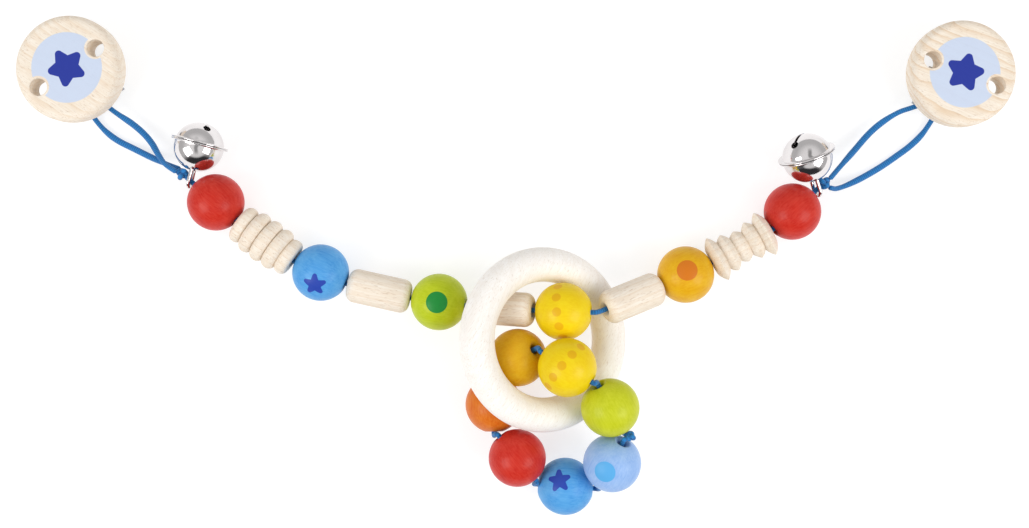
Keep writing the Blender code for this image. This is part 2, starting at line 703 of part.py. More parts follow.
def disc_profile():
    """Wooden disc about X, from its underside up, with rounded edges."""
    flat = DISC_DIAMETER / 2 - DISC_EDGE
    low, high = DISC_EDGE, DISC_THICKNESS - DISC_EDGE
    lower = arc((low, flat), DISC_EDGE, 180.0, 90.0, EDGE_STEPS)
    upper = arc((high, flat), DISC_EDGE, 90.0, 0.0, EDGE_STEPS)
    return [(0.0, 0.0)] + lower + upper + [(DISC_THICKNESS, 0.0)]


def build_clip(toy, side, frame, swivel):
    """Clip in its own frame: X outward over the strap bar, the bar above the origin."""
    middle = -BAR_FROM_MIDDLE
    plate_top = PLATE_HEIGHT + STEEL
    disc_low = plate_top + CLEARANCE
    disc = toy.add(f"{side}_clip_disc", turned("disc", disc_profile(), DISC_SIDES),
                   frame @ upright((middle, 0.0, disc_low)), "wood", swivel)
    vent = rod("vent", VENT_DIAMETER / 2, -CUT_OVERRUN, DISC_THICKNESS + CUT_OVERRUN)
    for name, across in (("near", -VENT_SPACING / 2), ("far", VENT_SPACING / 2)):
        place = frame @ upright((middle, across, disc_low))
        toy.shape(disc, f"{side}_{name}_vent", vent.copy(), place)
    build_plate(toy, side, frame, swivel, disc, middle)
    build_lever(toy, side, frame, swivel, middle - PIN_FROM_MIDDLE)
    pad_top = PLATE_HEIGHT - CLEARANCE
    front, half = middle - PLATE_FRONT, JAW_PAD_WIDTH / 2
    pad = block("pad", (front, front + JAW_PAD_LENGTH), (-half, half),
                (pad_top - JAW_PAD_THICKNESS, pad_top))
    toy.add(f"{side}_jaw_pad", pad, frame, "jaw_plastic", swivel)


def build_plate(toy, side, frame, swivel, disc, middle):
    """Base plate with a strap loop at its back and two ears for the lever's pin, and the
    rivet that holds it to the disc."""
    plate_top = PLATE_HEIGHT + STEEL
    half = PLATE_WIDTH / 2
    back = middle + PLATE_BACK
    plate = toy.add(f"{side}_clip_plate",
                    block("plate", (middle - PLATE_FRONT, back), (-half, half), (PLATE_HEIGHT, plate_top)),
                    frame, "steel", swivel)
    outer = STRAP_LOOP_WIDTH / 2
    step = back + PLATE_HEIGHT - BAR_HEIGHT
    bar_low, bar_high = BAR_HEIGHT - STEEL / 2, BAR_HEIGHT + STEEL / 2
    arm = [(middle, PLATE_HEIGHT + STEEL / 4), (back - STEEL, PLATE_HEIGHT + STEEL / 4),
           (step - STEEL, bar_low), (0.0, bar_low), (0.0, bar_high), (step, bar_high),
           (back, plate_top - STEEL / 4), (middle, plate_top - STEEL / 4)]
    pin_place = (middle - PIN_FROM_MIDDLE, 0.0, PIN_HEIGHT)
    ear_low = PIN_HEIGHT - EAR_HALF_WIDTH
    ear_x = (pin_place[0] - EAR_HALF_WIDTH, pin_place[0] + EAR_HALF_WIDTH)
    for name, sign in (("near", -1), ("far", 1)):
        ear_y = sorted((sign * (half - STEEL), sign * half))
        wing_y = sorted((sign * (half - STEEL), sign * outer))
        arm_y = sorted((sign * (outer - STRAP_ARM), sign * outer))
        wing = block("wing", (middle, back), wing_y, (PLATE_HEIGHT, plate_top))
        toy.shape(plate, f"{side}_{name}_wing", wing, frame, "UNION")
        toy.shape(plate, f"{side}_{name}_arm", extruded("arm", arm, *arm_y), frame, "UNION")
        ear = block("ear", ear_x, ear_y, (ear_low, PLATE_HEIGHT + STEEL / 2))
        toy.shape(plate, f"{side}_{name}_ear", ear, frame, "UNION")
    bar = rod("bar", BAR_DIAMETER / 2, -outer, outer)
    toy.shape(plate, f"{side}_bar", bar, frame @ sideways((0.0, 0.0, BAR_HEIGHT)), "UNION")
    drill = rod("pin_hole", PIN_DIAMETER / 2 + CLEARANCE, -half - CUT_OVERRUN, half + CUT_OVERRUN)
    toy.shape(plate, f"{side}_ear_holes", drill, frame @ sideways(pin_place))
    build_rivet(toy, side, frame, swivel, plate, disc, middle)


def build_rivet(toy, side, frame, swivel, plate, disc, middle):
    plate_top = PLATE_HEIGHT + STEEL
    shank, head = RIVET_DIAMETER / 2, RIVET_HEAD_DIAMETER / 2
    head_top = PLATE_HEIGHT - CLEARANCE
    top = plate_top + RIVET_DEPTH
    head_low = head_top - RIVET_HEAD
    profile = [(head_low, 0.0), (head_low, head * RIVET_CROWN_SHARE), (head_top, head),
               (head_top, shank), (top, shank), (top, 0.0)]
    place = frame @ upright((middle, 0.0, 0.0))
    toy.add(f"{side}_rivet", turned("rivet", profile, SMALL_SIDES), place, "steel", swivel)
    drill = rod("rivet_hole", shank + CLEARANCE, PLATE_HEIGHT - CUT_OVERRUN, top + CLEARANCE)
    for number, piece in enumerate((plate, disc), start=1):
        toy.shape(piece, f"{side}_rivet_hole_{number}", drill.copy(), place)


def build_lever(toy, side, frame, swivel, pin_x):
    """Lever with two cheeks and a cam, hung on a pin; its origin is on the pin's axis."""
    half = LEVER_WIDTH / 2
    cam = CAM_DIAMETER / 2
    front, back = -cam, PIN_FROM_MIDDLE + LEVER_BACK
    floor = (-PIN_HEIGHT, -PIN_HEIGHT + LEVER_FLOOR)
    hinge = frame @ Matrix.Translation((pin_x, 0.0, PIN_HEIGHT))
    base = block("lever", (front, back), (-half, half), floor)
    lever = toy.add(f"{side}_lever", base, hinge, "steel", swivel)
    in_floor = -PIN_HEIGHT + LEVER_FLOOR / 2
    cheek = [(front, in_floor), (back, in_floor), (back, -PIN_HEIGHT + LEVER_CHEEK_BACK),
             (cam, cam)] + arc((0.0, 0.0), cam, 90.0, 180.0, EDGE_STEPS)
    for name, sign in (("near", -1), ("far", 1)):
        width = sorted((sign * (half - STEEL), sign * half))
        toy.shape(lever, f"{side}_{name}_cheek", extruded("cheek", cheek, *width), hinge, "UNION")
    nose = PLATE_HEIGHT - JAW_PAD_THICKNESS - 2 * CLEARANCE - PIN_HEIGHT
    outline = arc((0.0, 0.0), cam, 150.0, 390.0, CAM_STEPS) + [(0.0, nose)]
    width = (-half + STEEL / 2, half - STEEL / 2)
    toy.shape(lever, f"{side}_cam", extruded("cam", outline, *width), hinge, "UNION")
    drill = rod("lever_hole", PIN_DIAMETER / 2 + CLEARANCE, -half - CUT_OVERRUN, half + CUT_OVERRUN)
    toy.shape(lever, f"{side}_lever_hole", drill, hinge @ sideways(ORIGIN))
    ear = PLATE_WIDTH / 2 + CLEARANCE
    shank, head = PIN_DIAMETER / 2, PIN_HEAD_DIAMETER / 2
    profile = [(-ear - PIN_HEAD, 0.0), (-ear - PIN_HEAD, head), (-ear, head), (-ear, shank),
               (ear, shank), (ear, head), (ear + PIN_HEAD, head), (ear + PIN_HEAD, 0.0)]
    toy.add(f"{side}_lever_pin", turned("pin", profile, SMALL_SIDES), hinge @ sideways(ORIGIN),
            "steel", swivel)


def build_ring(toy):
    axis = ring_axes()[0]
    section = arc((0.0, RING_RADIUS), RING_SECTION / 2, 0.0, 360.0, RING_SIDES)[:-1]
    toy.add("teething_ring", turned("ring", section, RING_STEPS),
            frame_along(ring_middle(), axis), "ring_wood")


def rattle_layout():
    """Nodes, middles and colours of the rattle's balls, in threading order from the knot,
    and the directions of their bores."""
    spacing = BALL_DIAMETER + BEAD_GAP
    lime = by_ring(*LIME_BALL_ON_RING)
    dotted = lime + unit(*LIME_TO_DOTTED) * spacing
    yolk = by_ring(*YOLK_BALL_ON_RING)
    orange = by_ring(*ORANGE_BALL_ON_RING)
    red = orange + unit(*ORANGE_TO_RED) * spacing
    star = red + unit(*RED_TO_STAR) * spacing
    pale = star + unit(*STAR_TO_PALE) * spacing
    balls = (("rattle_pale_blue_ball", pale, "pale_blue"), ("rattle_blue_star_ball", star, "blue"),
             ("rattle_red_ball", red, "red"), ("rattle_orange_ball", orange, "orange"),
             ("rattle_amber_ball", yolk, "amber"), ("rattle_yellow_ball", dotted, "yellow"),
             ("rattle_lime_ball", lime, "lime"))
    return balls, settle_bores([middle for _, middle, _ in balls])


def settle_bores(middles):
    """Directions of the bores of balls on a closed loop of taut elastic. They start along the
    line between the neighbours, and the elastic pulls them towards the neighbours' mouths."""
    count, half = len(middles), ball_half()
    bores = [(middles[(i + 1) % count] - middles[i - 1]).normalized() for i in range(count)]
    into = [middle - bore * half for middle, bore in zip(middles, bores)]
    out_of = [middle + bore * half for middle, bore in zip(middles, bores)]
    return [(into[(i + 1) % count] - out_of[i - 1]).normalized() for i in range(count)]


def build_rattle(toy, meshes):
    balls, bores = rattle_layout()
    middles = [middle for _, middle, _ in balls]
    for (node, middle, colour), along in zip(balls, bores):
        add_bead(toy, meshes, node, "ball", middle, along, colour)
    half = ball_half() + MOUTH_LEAD
    first_mouth = middles[0] - bores[0] * half
    last_mouth = middles[-1] + bores[-1] * half
    outward = (bores[-1] - bores[0]).normalized()
    knot = (first_mouth + last_mouth) / 2 + outward * RATTLE_KNOT_STANDOFF
    toy.add("rattle_knot", lump("knot", RATTLE_KNOT_DIAMETER, RATTLE_KNOT_DIAMETER),
            Matrix.Translation(knot), "elastic")
    stand = RATTLE_KNOT_DIAMETER / 2 + CLEARANCE
    start = knot + (first_mouth - knot).normalized() * stand
    end = knot + (last_mouth - knot).normalized() * stand
    points = [start]
    for i, (middle, along) in enumerate(zip(middles, bores)):
        points += [middle - along * half, middle + along * half]
        if i + 1 < len(middles):
            after, next_along = middles[i + 1], bores[i + 1]
            points += bend(points[-1], along, after - next_along * half, next_along, BEND_STEPS)
    points.append(end)
    add_elastic(toy, "rattle_elastic", points)


def centre_on_table(toy):
    """Move the whole toy so that the origin lies under the middle of its bounding box."""
    bpy.context.view_layer.update()
    graph = bpy.context.evaluated_depsgraph_get()
    low, high = Vector((math.inf,) * 3), Vector((-math.inf,) * 3)
    for obj in bpy.data.objects:
        if obj.type == "EMPTY" or obj.hide_render:
            continue
        piece = obj.evaluated_get(graph)
        for vertex in piece.to_mesh().vertices:
            place = piece.matrix_world @ vertex.co
            low = Vector(map(min, low, place))
            high = Vector(map(max, high, place))
        piece.to_mesh_clear()
    toy.root.location = Vector((-(low.x + high.x) / 2, -(low.y + high.y) / 2, -low.z))


def main():
    clear_scene()
    toy = Assembly()
    meshes = {}
    centre, left, right = chain_layout()
    build_ring(toy)
    last_links = build_chain(toy, meshes, centre, left, right)
    build_rattle(toy, meshes)
    build_end(toy, "left", left[-1], last_links["left"])
    build_end(toy, "right", right[-1], last_links["right"])
    centre_on_table(toy)
    return toy


main()
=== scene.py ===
"""Pram chain toy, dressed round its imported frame: natural and painted wooden beads on braided
elastic, a teething ring with a rattle loop, two jingle bells and two wooden clips.
Metres, +Z up. Every shape is an array of points worked out with numpy."""

import json

import bmesh
import bpy
import numpy as np
from bpy.props import FloatProperty, FloatVectorProperty, PointerProperty
from mathutils import Matrix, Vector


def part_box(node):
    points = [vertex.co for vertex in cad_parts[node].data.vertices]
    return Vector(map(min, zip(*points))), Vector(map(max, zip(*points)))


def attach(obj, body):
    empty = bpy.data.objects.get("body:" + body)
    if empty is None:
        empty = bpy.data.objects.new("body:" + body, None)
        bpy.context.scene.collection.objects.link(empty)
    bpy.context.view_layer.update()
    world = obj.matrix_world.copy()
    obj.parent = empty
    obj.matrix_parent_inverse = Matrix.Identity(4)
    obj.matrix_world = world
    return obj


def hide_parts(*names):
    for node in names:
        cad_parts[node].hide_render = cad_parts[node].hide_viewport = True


bl_info = {
    "name": "Pram Chain Toy",
    "version": (1, 0, 0),
    "blender": (4, 5, 0),
    "location": "3D View > Sidebar > Pram Chain",
    "description": "Dresses the packed frame of a wooden pram chain toy",
    "category": "Add Mesh",
}

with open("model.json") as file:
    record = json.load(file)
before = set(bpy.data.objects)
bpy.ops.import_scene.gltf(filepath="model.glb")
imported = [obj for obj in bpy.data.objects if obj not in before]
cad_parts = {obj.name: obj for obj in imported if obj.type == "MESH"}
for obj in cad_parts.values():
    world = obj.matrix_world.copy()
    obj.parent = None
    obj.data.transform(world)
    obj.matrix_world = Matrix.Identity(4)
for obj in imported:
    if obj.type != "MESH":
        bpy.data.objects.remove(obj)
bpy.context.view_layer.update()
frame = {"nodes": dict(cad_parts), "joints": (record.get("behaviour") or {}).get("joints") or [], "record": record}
JOINTS = {joint["name"]: joint for joint in frame["joints"]}
BODY_OF = {node: body for body, nodes in frame["record"]["behaviour"]["bodies"].items()
           for node in nodes}

MM = 0.001
TAU = 2 * np.pi
UP = np.array((0.0, 0.0, 1.0))
CAMERA_PLACE = np.array((-0.83, 0.41, 490.0)) * MM
CAMERA_ROLL = -0.0052

# Steps along and round the turned and drawn-out shapes
BEAD_SIDES = 80
PROFILE_STEPS = 132
RING_STEPS, RING_SIDES = 240, 56
BALL_STEPS, CYLINDER_EDGE_STEPS, RIB_STEPS = 90, 16, 24
CORD_SIDES = 20
CORD_STEP = 0.4 * MM
END_STEPS = 5
ROUTE_SAMPLES = 16
SHELL_STEPS, SHELL_EDGE_STEP = (40, 44), 0.12 * MM
SHELL_OPENING = 0.6  # degrees round the pole that a flat cap closes
SHELL_WEAR_REACH, SHELL_WEAR_WIDTH, SHELL_WEAR_MARGIN = 6, 2.2, 3  # in points of the profile
WIRE_BEND_STEPS, WIRE_STEP = 17, 0.25 * MM
CLAPPER_STEPS, CLAPPER_SIDES = 40, 48
DISC_SIDES, DISC_EDGE_STEPS, DISC_CAP = 128, 18, 0.5 * MM
VENT_SIDES, VENT_EDGE_STEPS = 56, 7
DRILL_SIDES = 48
SHARP = np.radians(40.0)
SAME_POINT, SAME_FACE = 0.001 * MM, np.radians(0.5)
SENSOR_WIDTH = 36.0

# The balls with their stains, the rattle's in their order on its elastic, and their prints.
# A spot is where the camera sees it, millimetres across and up from the ball's middle. A
# dot has its diameter too, and a star its turn in degrees.
BALLS = {
    "centre_ball": "yellow", "green_ball": "leaf", "blue_star_ball": "blue",
    "left_red_ball": "red", "amber_ball": "amber", "right_red_ball": "red",
    "rattle_pale_blue_ball": "pale_blue", "rattle_blue_star_ball": "blue",
    "rattle_red_ball": "red", "rattle_orange_ball": "orange", "rattle_amber_ball": "amber",
    "rattle_yellow_ball": "yellow", "rattle_lime_ball": "lime",
}
CYLINDERS = ("left_inner_cylinder", "left_outer_cylinder", "right_cylinder")
DOT_PRINTS = {
    "green_ball": ((-0.9, -0.15), 7.4, "green_ink"),
    "amber_ball": ((0.6, 1.55), 7.1, "orange_ink"),
    "rattle_pale_blue_ball": ((-2.6, -3.15), 7.2, "sky_ink"),
}
STAR_PRINTS = {"blue_star_ball": ((-2.2, -4.3), -3.0), "rattle_blue_star_ball": ((-2.1, 2.0), 3.0)}
# The first, a middle and the last spot of a row of dots, twelve to the whole circle
DOT_ROWS = {
    "centre_ball": ((-2.04, 8.18), (-2.42, -0.14), (-0.41, -8.67)),
    "rattle_yellow_ball": ((4.21, 6.56), (-1.79, 0.66), (-5.04, -3.62)),
}
PRINT_BLUR = 0.12 * MM
BEAD_STAR = {"Tip": 4.0 * MM, "Waist": 2.05 * MM, "Rounding": 0.75 * MM}
ROW_DOTS = {"Count": 12.0, "Radius": 1.5 * MM}
ROW_BLUR = 0.15 * MM
RATTLE_ORDER = [node for node in BALLS if node.startswith("rattle")]

# From a ribbed bead's inner end: its ribs' widths in millimetres, its crests and grooves as
# shares of its diameter, and the two powers that make its ribs round
BARREL = {"widths": (4.5, 5.0, 5.0, 5.0, 4.5), "crests": (0.84, 0.975, 1.0, 0.975, 0.86),
          "grooves": (0.60, 0.68, 0.73, 0.73, 0.67, 0.60), "round": (2.0, 0.5)}
SPOOL = {"widths": (4.7,) * 5, "crests": (0.995, 0.845, 0.715, 0.84, 1.0),
         "grooves": (0.56, 0.60, 0.52, 0.51, 0.58, 0.56), "round": (1.14, 0.72)}
RIB_WEAR = 0.6  # share of the other beads' wear

# Bells: heading and tilt of the slotted dome, and turn about its own axis, in degrees
BELLS = {"left": (75.0, 1.0, 27.0), "right": (110.0, 16.5, -60.0)}
CLINCH = 1.5 * MM
LEG_CLEARANCE = 0.3 * MM
CUTTER_REACH = 1.0 * MM
CUTTER_DEPTH = 3.0 * MM
LAST_BEAD = {"left": "left_red_ball", "right": "right_red_ball"}
LINKS = {"left": 6, "right": 4}

# Clips: heading from the disc to its strap bar, heading of its fibres, and where one tip of
# its printed star points
CLIP_HEADINGS = {"left": -56.0, "right": -111.9}
DISC_FIBRES = {"left": -34.0, "right": -22.0}
DISC_STARS = {"left": -95.0, "right": 75.0}
DISC_GRAIN = {"left": 0.40, "right": 0.85}
BAR_FROM_MIDDLE = 13.0 * MM
DISC_LOW = 8.1 * MM
VENT_SPACING = 24.0 * MM
RIVET_HOLE, RIVET_HOLE_DEPTH = 1.6 * MM, 5.0 * MM
DISC_BLUR = 0.15 * MM
DISC_STAR_ROUNDING = 1.25 * MM
DISC_PRINT_COVER = 0.93
WORN_EDGE = 0.12 * MM

# The knots: how flat they are, how far they lean up from their elastic, and the share of the
# elastic's thickness that their squeezed strand has
RATTLE_KNOT = {"flat": 1.3, "lean": 0.6, "squeeze": 0.78}
END_KNOT = {"flat": 1.5, "lean": 0.5, "squeeze": 0.96}
END_KNOT_TURN = 45.0
RATTLE_LEAD = 0.5 * MM  # straight elastic beyond a ball's mouth
BRAID_THREADS = 8.0

# Where the elastic is held: as far as this from the bar and the knot it is squeezed, and from
# there it swells to its loose thickness over the second length
HELD_AT_BAR, SWELL_AT_BAR = 6.0 * MM, 6.0 * MM
HELD_AT_KNOT, SWELL_AT_KNOT = 5.0 * MM, 8.0 * MM

# Woods: the noise cells to a millimetre along and across the fibres, how far in millimetres
# slow noise pushes the growth rings, and the pith lines' places in millimetres
WANDER_CELLS, FIBRE_CELLS = (0.035, 0.13, 0.13), (0.09, 1.9, 1.9)
FLECK_CELLS, TONE_CELLS, GLOSS_CELLS = (0.5, 3.6, 3.6), (0.16, 0.22, 0.22), (0.9, 0.9, 0.9)
WANDER_REACH = 5.0
PITH, PITH_STEP = np.array((0.0, 9.0, 4.0)), np.array((31.0, 2.0, -3.0))
DISC_PITH, RING_PITH, PAINTED_PITH = (0.0, 22.0, 9.0), (0.0, 60.0, 25.0), (0.0, 11.0, 4.0)
PAINTED_SPACING, RING_WOOD_SPACING = 3.0 * MM, 3.5 * MM
RING_FIBRES = 62.0

# How much of each effect shows on bare and on painted wood, and the powers of a stain that
# make it deeper and thinner
BARE = {"fibres": 0.55, "flecks": 0.5, "tone": 0.25, "rough": (0.12, 0.50),
        "bump": (0.05 * MM, 0.5), "specular": 0.15}
PAINTED = {"fibres": 0.5, "rings": 0.18, "rough": (0.12, 0.34), "bump": (0.02 * MM, 0.35),
           "specular": 0.14, "coat_rough": 0.16, "deep": 1.25, "thin": 0.82}
PLAIN_RINGS, RING_WOOD_RINGS = 0.35, 0.5
RED_SHEEN = {"Sheen Weight": 0.2, "Sheen Roughness": 0.4}

# Metals: their streaks' noise cells to a millimetre, and their roughness
NICKEL, NICKEL_ROUGH = (1.2, 1.2, 1.2), 0.10
CLIP_STEEL, CLIP_STEEL_ROUGH = (0.25, 6.0, 6.0), 0.28
CLAPPER_STEEL, CLAPPER_STEEL_ROUGH = (1.0, 1.0, 1.0), 0.2
DULL_CELLS, DULL_SHADE = (0.35, 0.35, 0.35), 0.9
GRIME_CELLS, GRIME_SHADE = (0.5, 0.5, 0.5), 0.88

# The light: the softboxes' places, and the greys of the sky
SOFTBOXES = {"left_softbox": (-0.62, -0.26, 0.58), "right_softbox": (0.62, -0.26, 0.58)}
SKY_LOW, SKY_HIGH, SKY_STRIP = (0.85,) * 3, (1.35,) * 3, (0.50,) * 3
SKY_BEHIND = (0.05, 0.05, 0.055)

# The elastic loops from the knot round the strap bar and back: millimetres outward, across
# and up from the bar's middle on the table
LOOP_ROUTES = {
    "left": (
        (36.5, 9.6, 11.3), (32.3, 7.9, 9.4), (27.6, 7.3, 6.6), (22.4, 7.3, 4.6), (17.6, 6.7, 3.9),
        (12.4, 5.3, 4.2), (7.0, 3.2, 5.1), (3.2, 2.0, 5.6), (0.0, 1.5, 5.6), (-2.4, 0.9, 5.1),
        (-3.9, -0.6, 4.1), (-4.1, -2.6, 3.0), (-2.7, -4.4, 2.0), (0.0, -5.1, 1.6),
        (4.6, -5.1, 1.5), (9.3, -4.4, 1.4), (14.2, -2.7, 1.4), (20.0, 0.5, 1.6),
        (25.6, 3.7, 2.7), (30.2, 6.6, 4.7), (33.4, 8.8, 6.7), (36.0, 10.7, 8.5),
    ),
    "right": (
        (36.9, -28.2, 9.5), (32.2, -26.4, 7.9), (24.6, -23.3, 5.0), (16.6, -20.3, 3.9),
        (11.0, -17.4, 4.3), (5.9, -13.6, 5.2), (2.6, -9.8, 5.7), (0.0, -6.9, 5.6),
        (-2.2, -5.4, 5.1), (-3.9, -4.0, 4.2), (-4.2, -2.2, 3.2), (-2.8, -0.7, 2.1),
        (0.0, -0.2, 1.6), (4.4, -0.8, 1.5), (9.4, -2.0, 1.4), (14.6, -4.3, 1.4),
        (20.4, -7.9, 1.4), (26.0, -11.7, 1.5), (31.8, -16.3, 1.7), (36.4, -20.6, 2.8),
        (39.2, -24.0, 4.7), (40.0, -26.4, 6.5),
    ),
}


def linear(code):
    """Scene-linear red, green and blue of a screen colour's six hex digits: a dark channel c
    is c / 12.92, and any other is (c + 0.055) / 1.055 to the power 2.4."""
    screen = np.array([int(code[i:i + 2], 16) for i in (0, 2, 4)]) / 255
    return tuple(np.where(screen < 0.04045, screen / 12.92, ((screen + 0.055) / 1.055) ** 2.4))


def length(name, description, default):
    return FloatProperty(name=name, description=description, default=default, min=0.0,
                         precision=5, unit="LENGTH")


def share(name, description, default):
    return FloatProperty(name=name, description=description, default=default, min=0.0, max=1.0,
                         subtype="FACTOR")


def number(name, description, default):
    return FloatProperty(name=name, description=description, default=default, min=0.0)


def angle(name, description, degrees):
    return FloatProperty(name=name, description=description, subtype="ANGLE", unit="ROTATION",
                         default=float(np.radians(degrees)))


def colour(name, description, code):
    return FloatVectorProperty(name=name, description=description, default=linear(code),
                               min=0.0, max=1.0, subtype="COLOR")


class StageSettings(bpy.types.PropertyGroup):
    view_angle: angle("View angle", "Width of the camera's view", 41.5)
    floor_colour: colour("Floor", "Colour of the floor", "AAAAAA")
    floor_size: length("Floor size", "Length of the floor's sides", 8.0)
    floor_glow: number("Floor glow", "Light that comes up from the floor", 0.68)
    sky: number("Sky", "Strength of the even light from all round", 0.62)
    softbox_power: number("Softbox power", "Power of each softbox in watts", 3.6)
    softbox_size: length("Softbox size", "Length of a softbox's sides", 0.50)


class BeadSettings(bpy.types.PropertyGroup):
    ball_diameter: length("Ball diameter", "Diameter of the painted balls", 20.0 * MM)
    bore: length("Bore", "Diameter of a bead's bore", 3.4 * MM)
    mouth: length("Mouth", "Diameter of the bore's countersunk mouth", 5.4 * MM)
    mouth_depth: length("Mouth depth", "Depth of the countersink", 1.0 * MM)
    cylinder_diameter: length("Cylinder diameter", "Diameter of the natural cylinders", 12.0 * MM)
    cylinder_length: length("Cylinder length", "Length of the natural cylinders", 22.6 * MM)
    cylinder_edge: length("Cylinder edge", "Radius of the cylinders' edges", 3.1 * MM)
    barrel_diameter: length("Barrel diameter", "Widest rib of the barrel", 16.1 * MM)
    spool_diameter: length("Spool diameter", "Widest rib of the spool", 16.8 * MM)
    wear: length("Edge wear", "How far a bead's edges are worn round", 0.28 * MM)


class RingSettings(bpy.types.PropertyGroup):
    diameter: length("Diameter", "Outer diameter of the teething ring", 64.2 * MM)
    section: length("Section", "Thickness of the teething ring", 12.0 * MM)
    wood: colour("Wood", "Colour of the ring's pale wood", "F9F6F2")
    fibre: colour("Fibre", "Colour of the ring's darker fibres", "EFE8DF")
    fleck: colour("Fleck", "Colour of the short flecks in the ring's wood", "CDBDAD")


class WoodSettings(bpy.types.PropertyGroup):
    wood: colour("Wood", "Colour of the natural wood", "F1E8DB")
    fibre: colour("Fibre", "Colour of its darker fibres", "E3D1BA")
    fleck: colour("Fleck", "Colour of its short flecks", "B4906F")
    growth_ring: colour("Growth ring", "Colour of the discs' growth rings", "DABB96")
    ring_spacing: length("Ring spacing", "Distance between two growth rings", 2.6 * MM)


class PaintSettings(bpy.types.PropertyGroup):
    red: colour("Red", "Stain of the red balls", "C73224")
    blue: colour("Blue", "Stain of the blue balls", "57A1DC")
    lime: colour("Lime", "Stain of the lime ball", "C4CA26")
    leaf: colour("Leaf", "Stain of the leaf green ball", "BDCB22")
    yellow: colour("Yellow", "Stain of the yellow balls", "EACB12")
    amber: colour("Amber", "Stain of the amber balls", "E0AC18")
    orange: colour("Orange", "Stain of the orange ball", "D67420")
    pale_blue: colour("Pale blue", "Stain of the pale blue ball", "98B9E7")
    green_ink: colour("Green ink", "Print on the leaf green ball", "228A3A")
    orange_ink: colour("Orange ink", "Print on the amber ball", "CF741C")
    sky_ink: colour("Sky ink", "Print on the pale blue ball", "5AA8E0")
    row_ink: colour("Row ink", "Rows of dots on the yellow balls", "DFAD12")
    bead_star: colour("Bead star", "Print on the blue balls", "2C46A6")
    disc_star: colour("Disc star", "Stars on the clip discs", "2A3996")
    disc_print: colour("Disc print", "Pale round print on the clip discs", "C3D0E6")
    gloss: share("Gloss", "How much clear lacquer covers the stain", 0.10)
    red_sheen: colour("Red sheen", "Sheen of the red balls' edges", "E0307A")


class ElasticSettings(bpy.types.PropertyGroup):
    diameter: length("Diameter", "Diameter of the elastic where beads and clips hold it", 1.8 * MM)
    loose_diameter: length("Loose diameter", "Diameter of the end loops in the open", 2.3 * MM)
    thread: colour("Thread", "Colour of the braided cover", "2284CC")
    # The shade colour is painted shade: a darker blue laid into the grooves between the braid's threads
    shade: colour("Shade", "Colour between the threads", "12558F")
    pitch: length("Pitch", "Length of one turn of the braid's threads", 1.5 * MM)
    rattle_knot: length("Rattle knot", "Size of the bends in the rattle's knot", 0.42 * MM)
    end_knot: length("End knot", "Size of the bends in an end knot", 0.53 * MM)


class BellSettings(bpy.types.PropertyGroup):
    diameter: length("Diameter", "Diameter of a bell's domes", 17.5 * MM)
    flange: length("Flange", "Diameter over the flange", 20.3 * MM)
    flange_thickness: length("Flange thickness", "Thickness of each half's flange", 0.5 * MM)
    wall: length("Wall", "Thickness of the shells", 0.7 * MM)
    gap: length("Gap", "Gap between the two halves", 0.14 * MM)
    seam: length("Seam", "From a bell's middle up to the gap between its halves", 1.3 * MM)
    slit: length("Slit", "Width of a bell's slit", 1.1 * MM)
    slit_hole: length("Slit hole", "Diameter of the holes at the slit's ends", 2.7 * MM)
    slit_reach: angle("Slit reach", "From the dome's top to the slit's ends", 37.0)
    eye_wire: length("Eye wire", "Diameter of the wire of the eye", 1.4 * MM)
    eye_bend: length("Eye bend", "Radius of the eye's bend", 2.3 * MM)
    eye_standoff: length("Eye standoff", "From the dome to the middle of the eye", 3.5 * MM)
    clapper: length("Clapper", "Diameter of the clapper", 5.0 * MM)
    nickel: colour("Nickel", "Colour of the nickel plating", "E9E5E5")
    steel: colour("Steel", "Colour of the clips' steel", "C4C5C7")
    jaw: colour("Jaw pad", "Colour of the jaw pads' plastic", "E6E6E2")


class DiscSettings(bpy.types.PropertyGroup):
    diameter: length("Diameter", "Diameter of a clip's disc", 37.0 * MM)
    thickness: length("Thickness", "Thickness of a clip's disc", 10.0 * MM)
    edge: length("Edge", "Radius of the disc's edges", 3.0 * MM)
    vent: length("Vent", "Diameter of the vent holes", 6.0 * MM)
    vent_edge: length("Vent edge", "Radius of the vent holes' edges", 0.35 * MM)
    print_radius: length("Print radius", "Radius of the pale round print", 12.2 * MM)
    print_margin: length("Print margin", "Bare wood round a vent hole", 0.75 * MM)
    star_tip: length("Star tip", "From the star's middle to its tips", 6.6 * MM)
    star_waist: length("Star waist", "From the star's middle to its inner corners", 4.05 * MM)


SETTINGS = {
    "chain_stage": StageSettings, "chain_beads": BeadSettings, "chain_ring": RingSettings,
    "chain_wood": WoodSettings, "chain_paint": PaintSettings, "chain_elastic": ElasticSettings,
    "chain_bells": BellSettings, "chain_discs": DiscSettings,
}


# Directions and frames. A frame is its origin, and its X, Y and Z as the rows of an array.

def unit(vectors):
    """Vectors divided by their lengths."""
    vectors = np.asarray(vectors, float)
    return vectors / np.linalg.norm(vectors, axis=-1, keepdims=True)


def heading(turn, climb=0.0):
    """Direction at an angle round +Z from +X and a climb above level, in degrees."""
    turn, climb = np.radians(turn), np.radians(climb)
    return np.array((np.cos(climb) * np.cos(turn), np.cos(climb) * np.sin(turn), np.sin(climb)))


def frame_along(origin, along, upward=UP):
    """Frame with X along a direction and Z as near upward as it can be: Y is upward crossed
    with X, and Z is X crossed with Y."""
    x = unit(along)
    y = unit(np.cross(upward, x))
    return np.asarray(origin, float), np.array((x, y, np.cross(x, y)))


def facing(origin, x, z):
    """Frame with an X and a Z that are square to each other: Y is Z crossed with X."""
    return origin, np.array((x, np.cross(z, x), z))


def turned_frame(stand, degrees):
    """A frame turned about its own X."""
    origin, (x, y, z) = stand
    c, s = np.cos(np.radians(degrees)), np.sin(np.radians(degrees))
    return origin, np.array((x, y * c + z * s, z * c - y * s))


def placed(points, stand):
    """Points of a frame as points of the toy: each number times its axis, plus the origin."""
    origin, axes = stand
    return points @ axes + origin


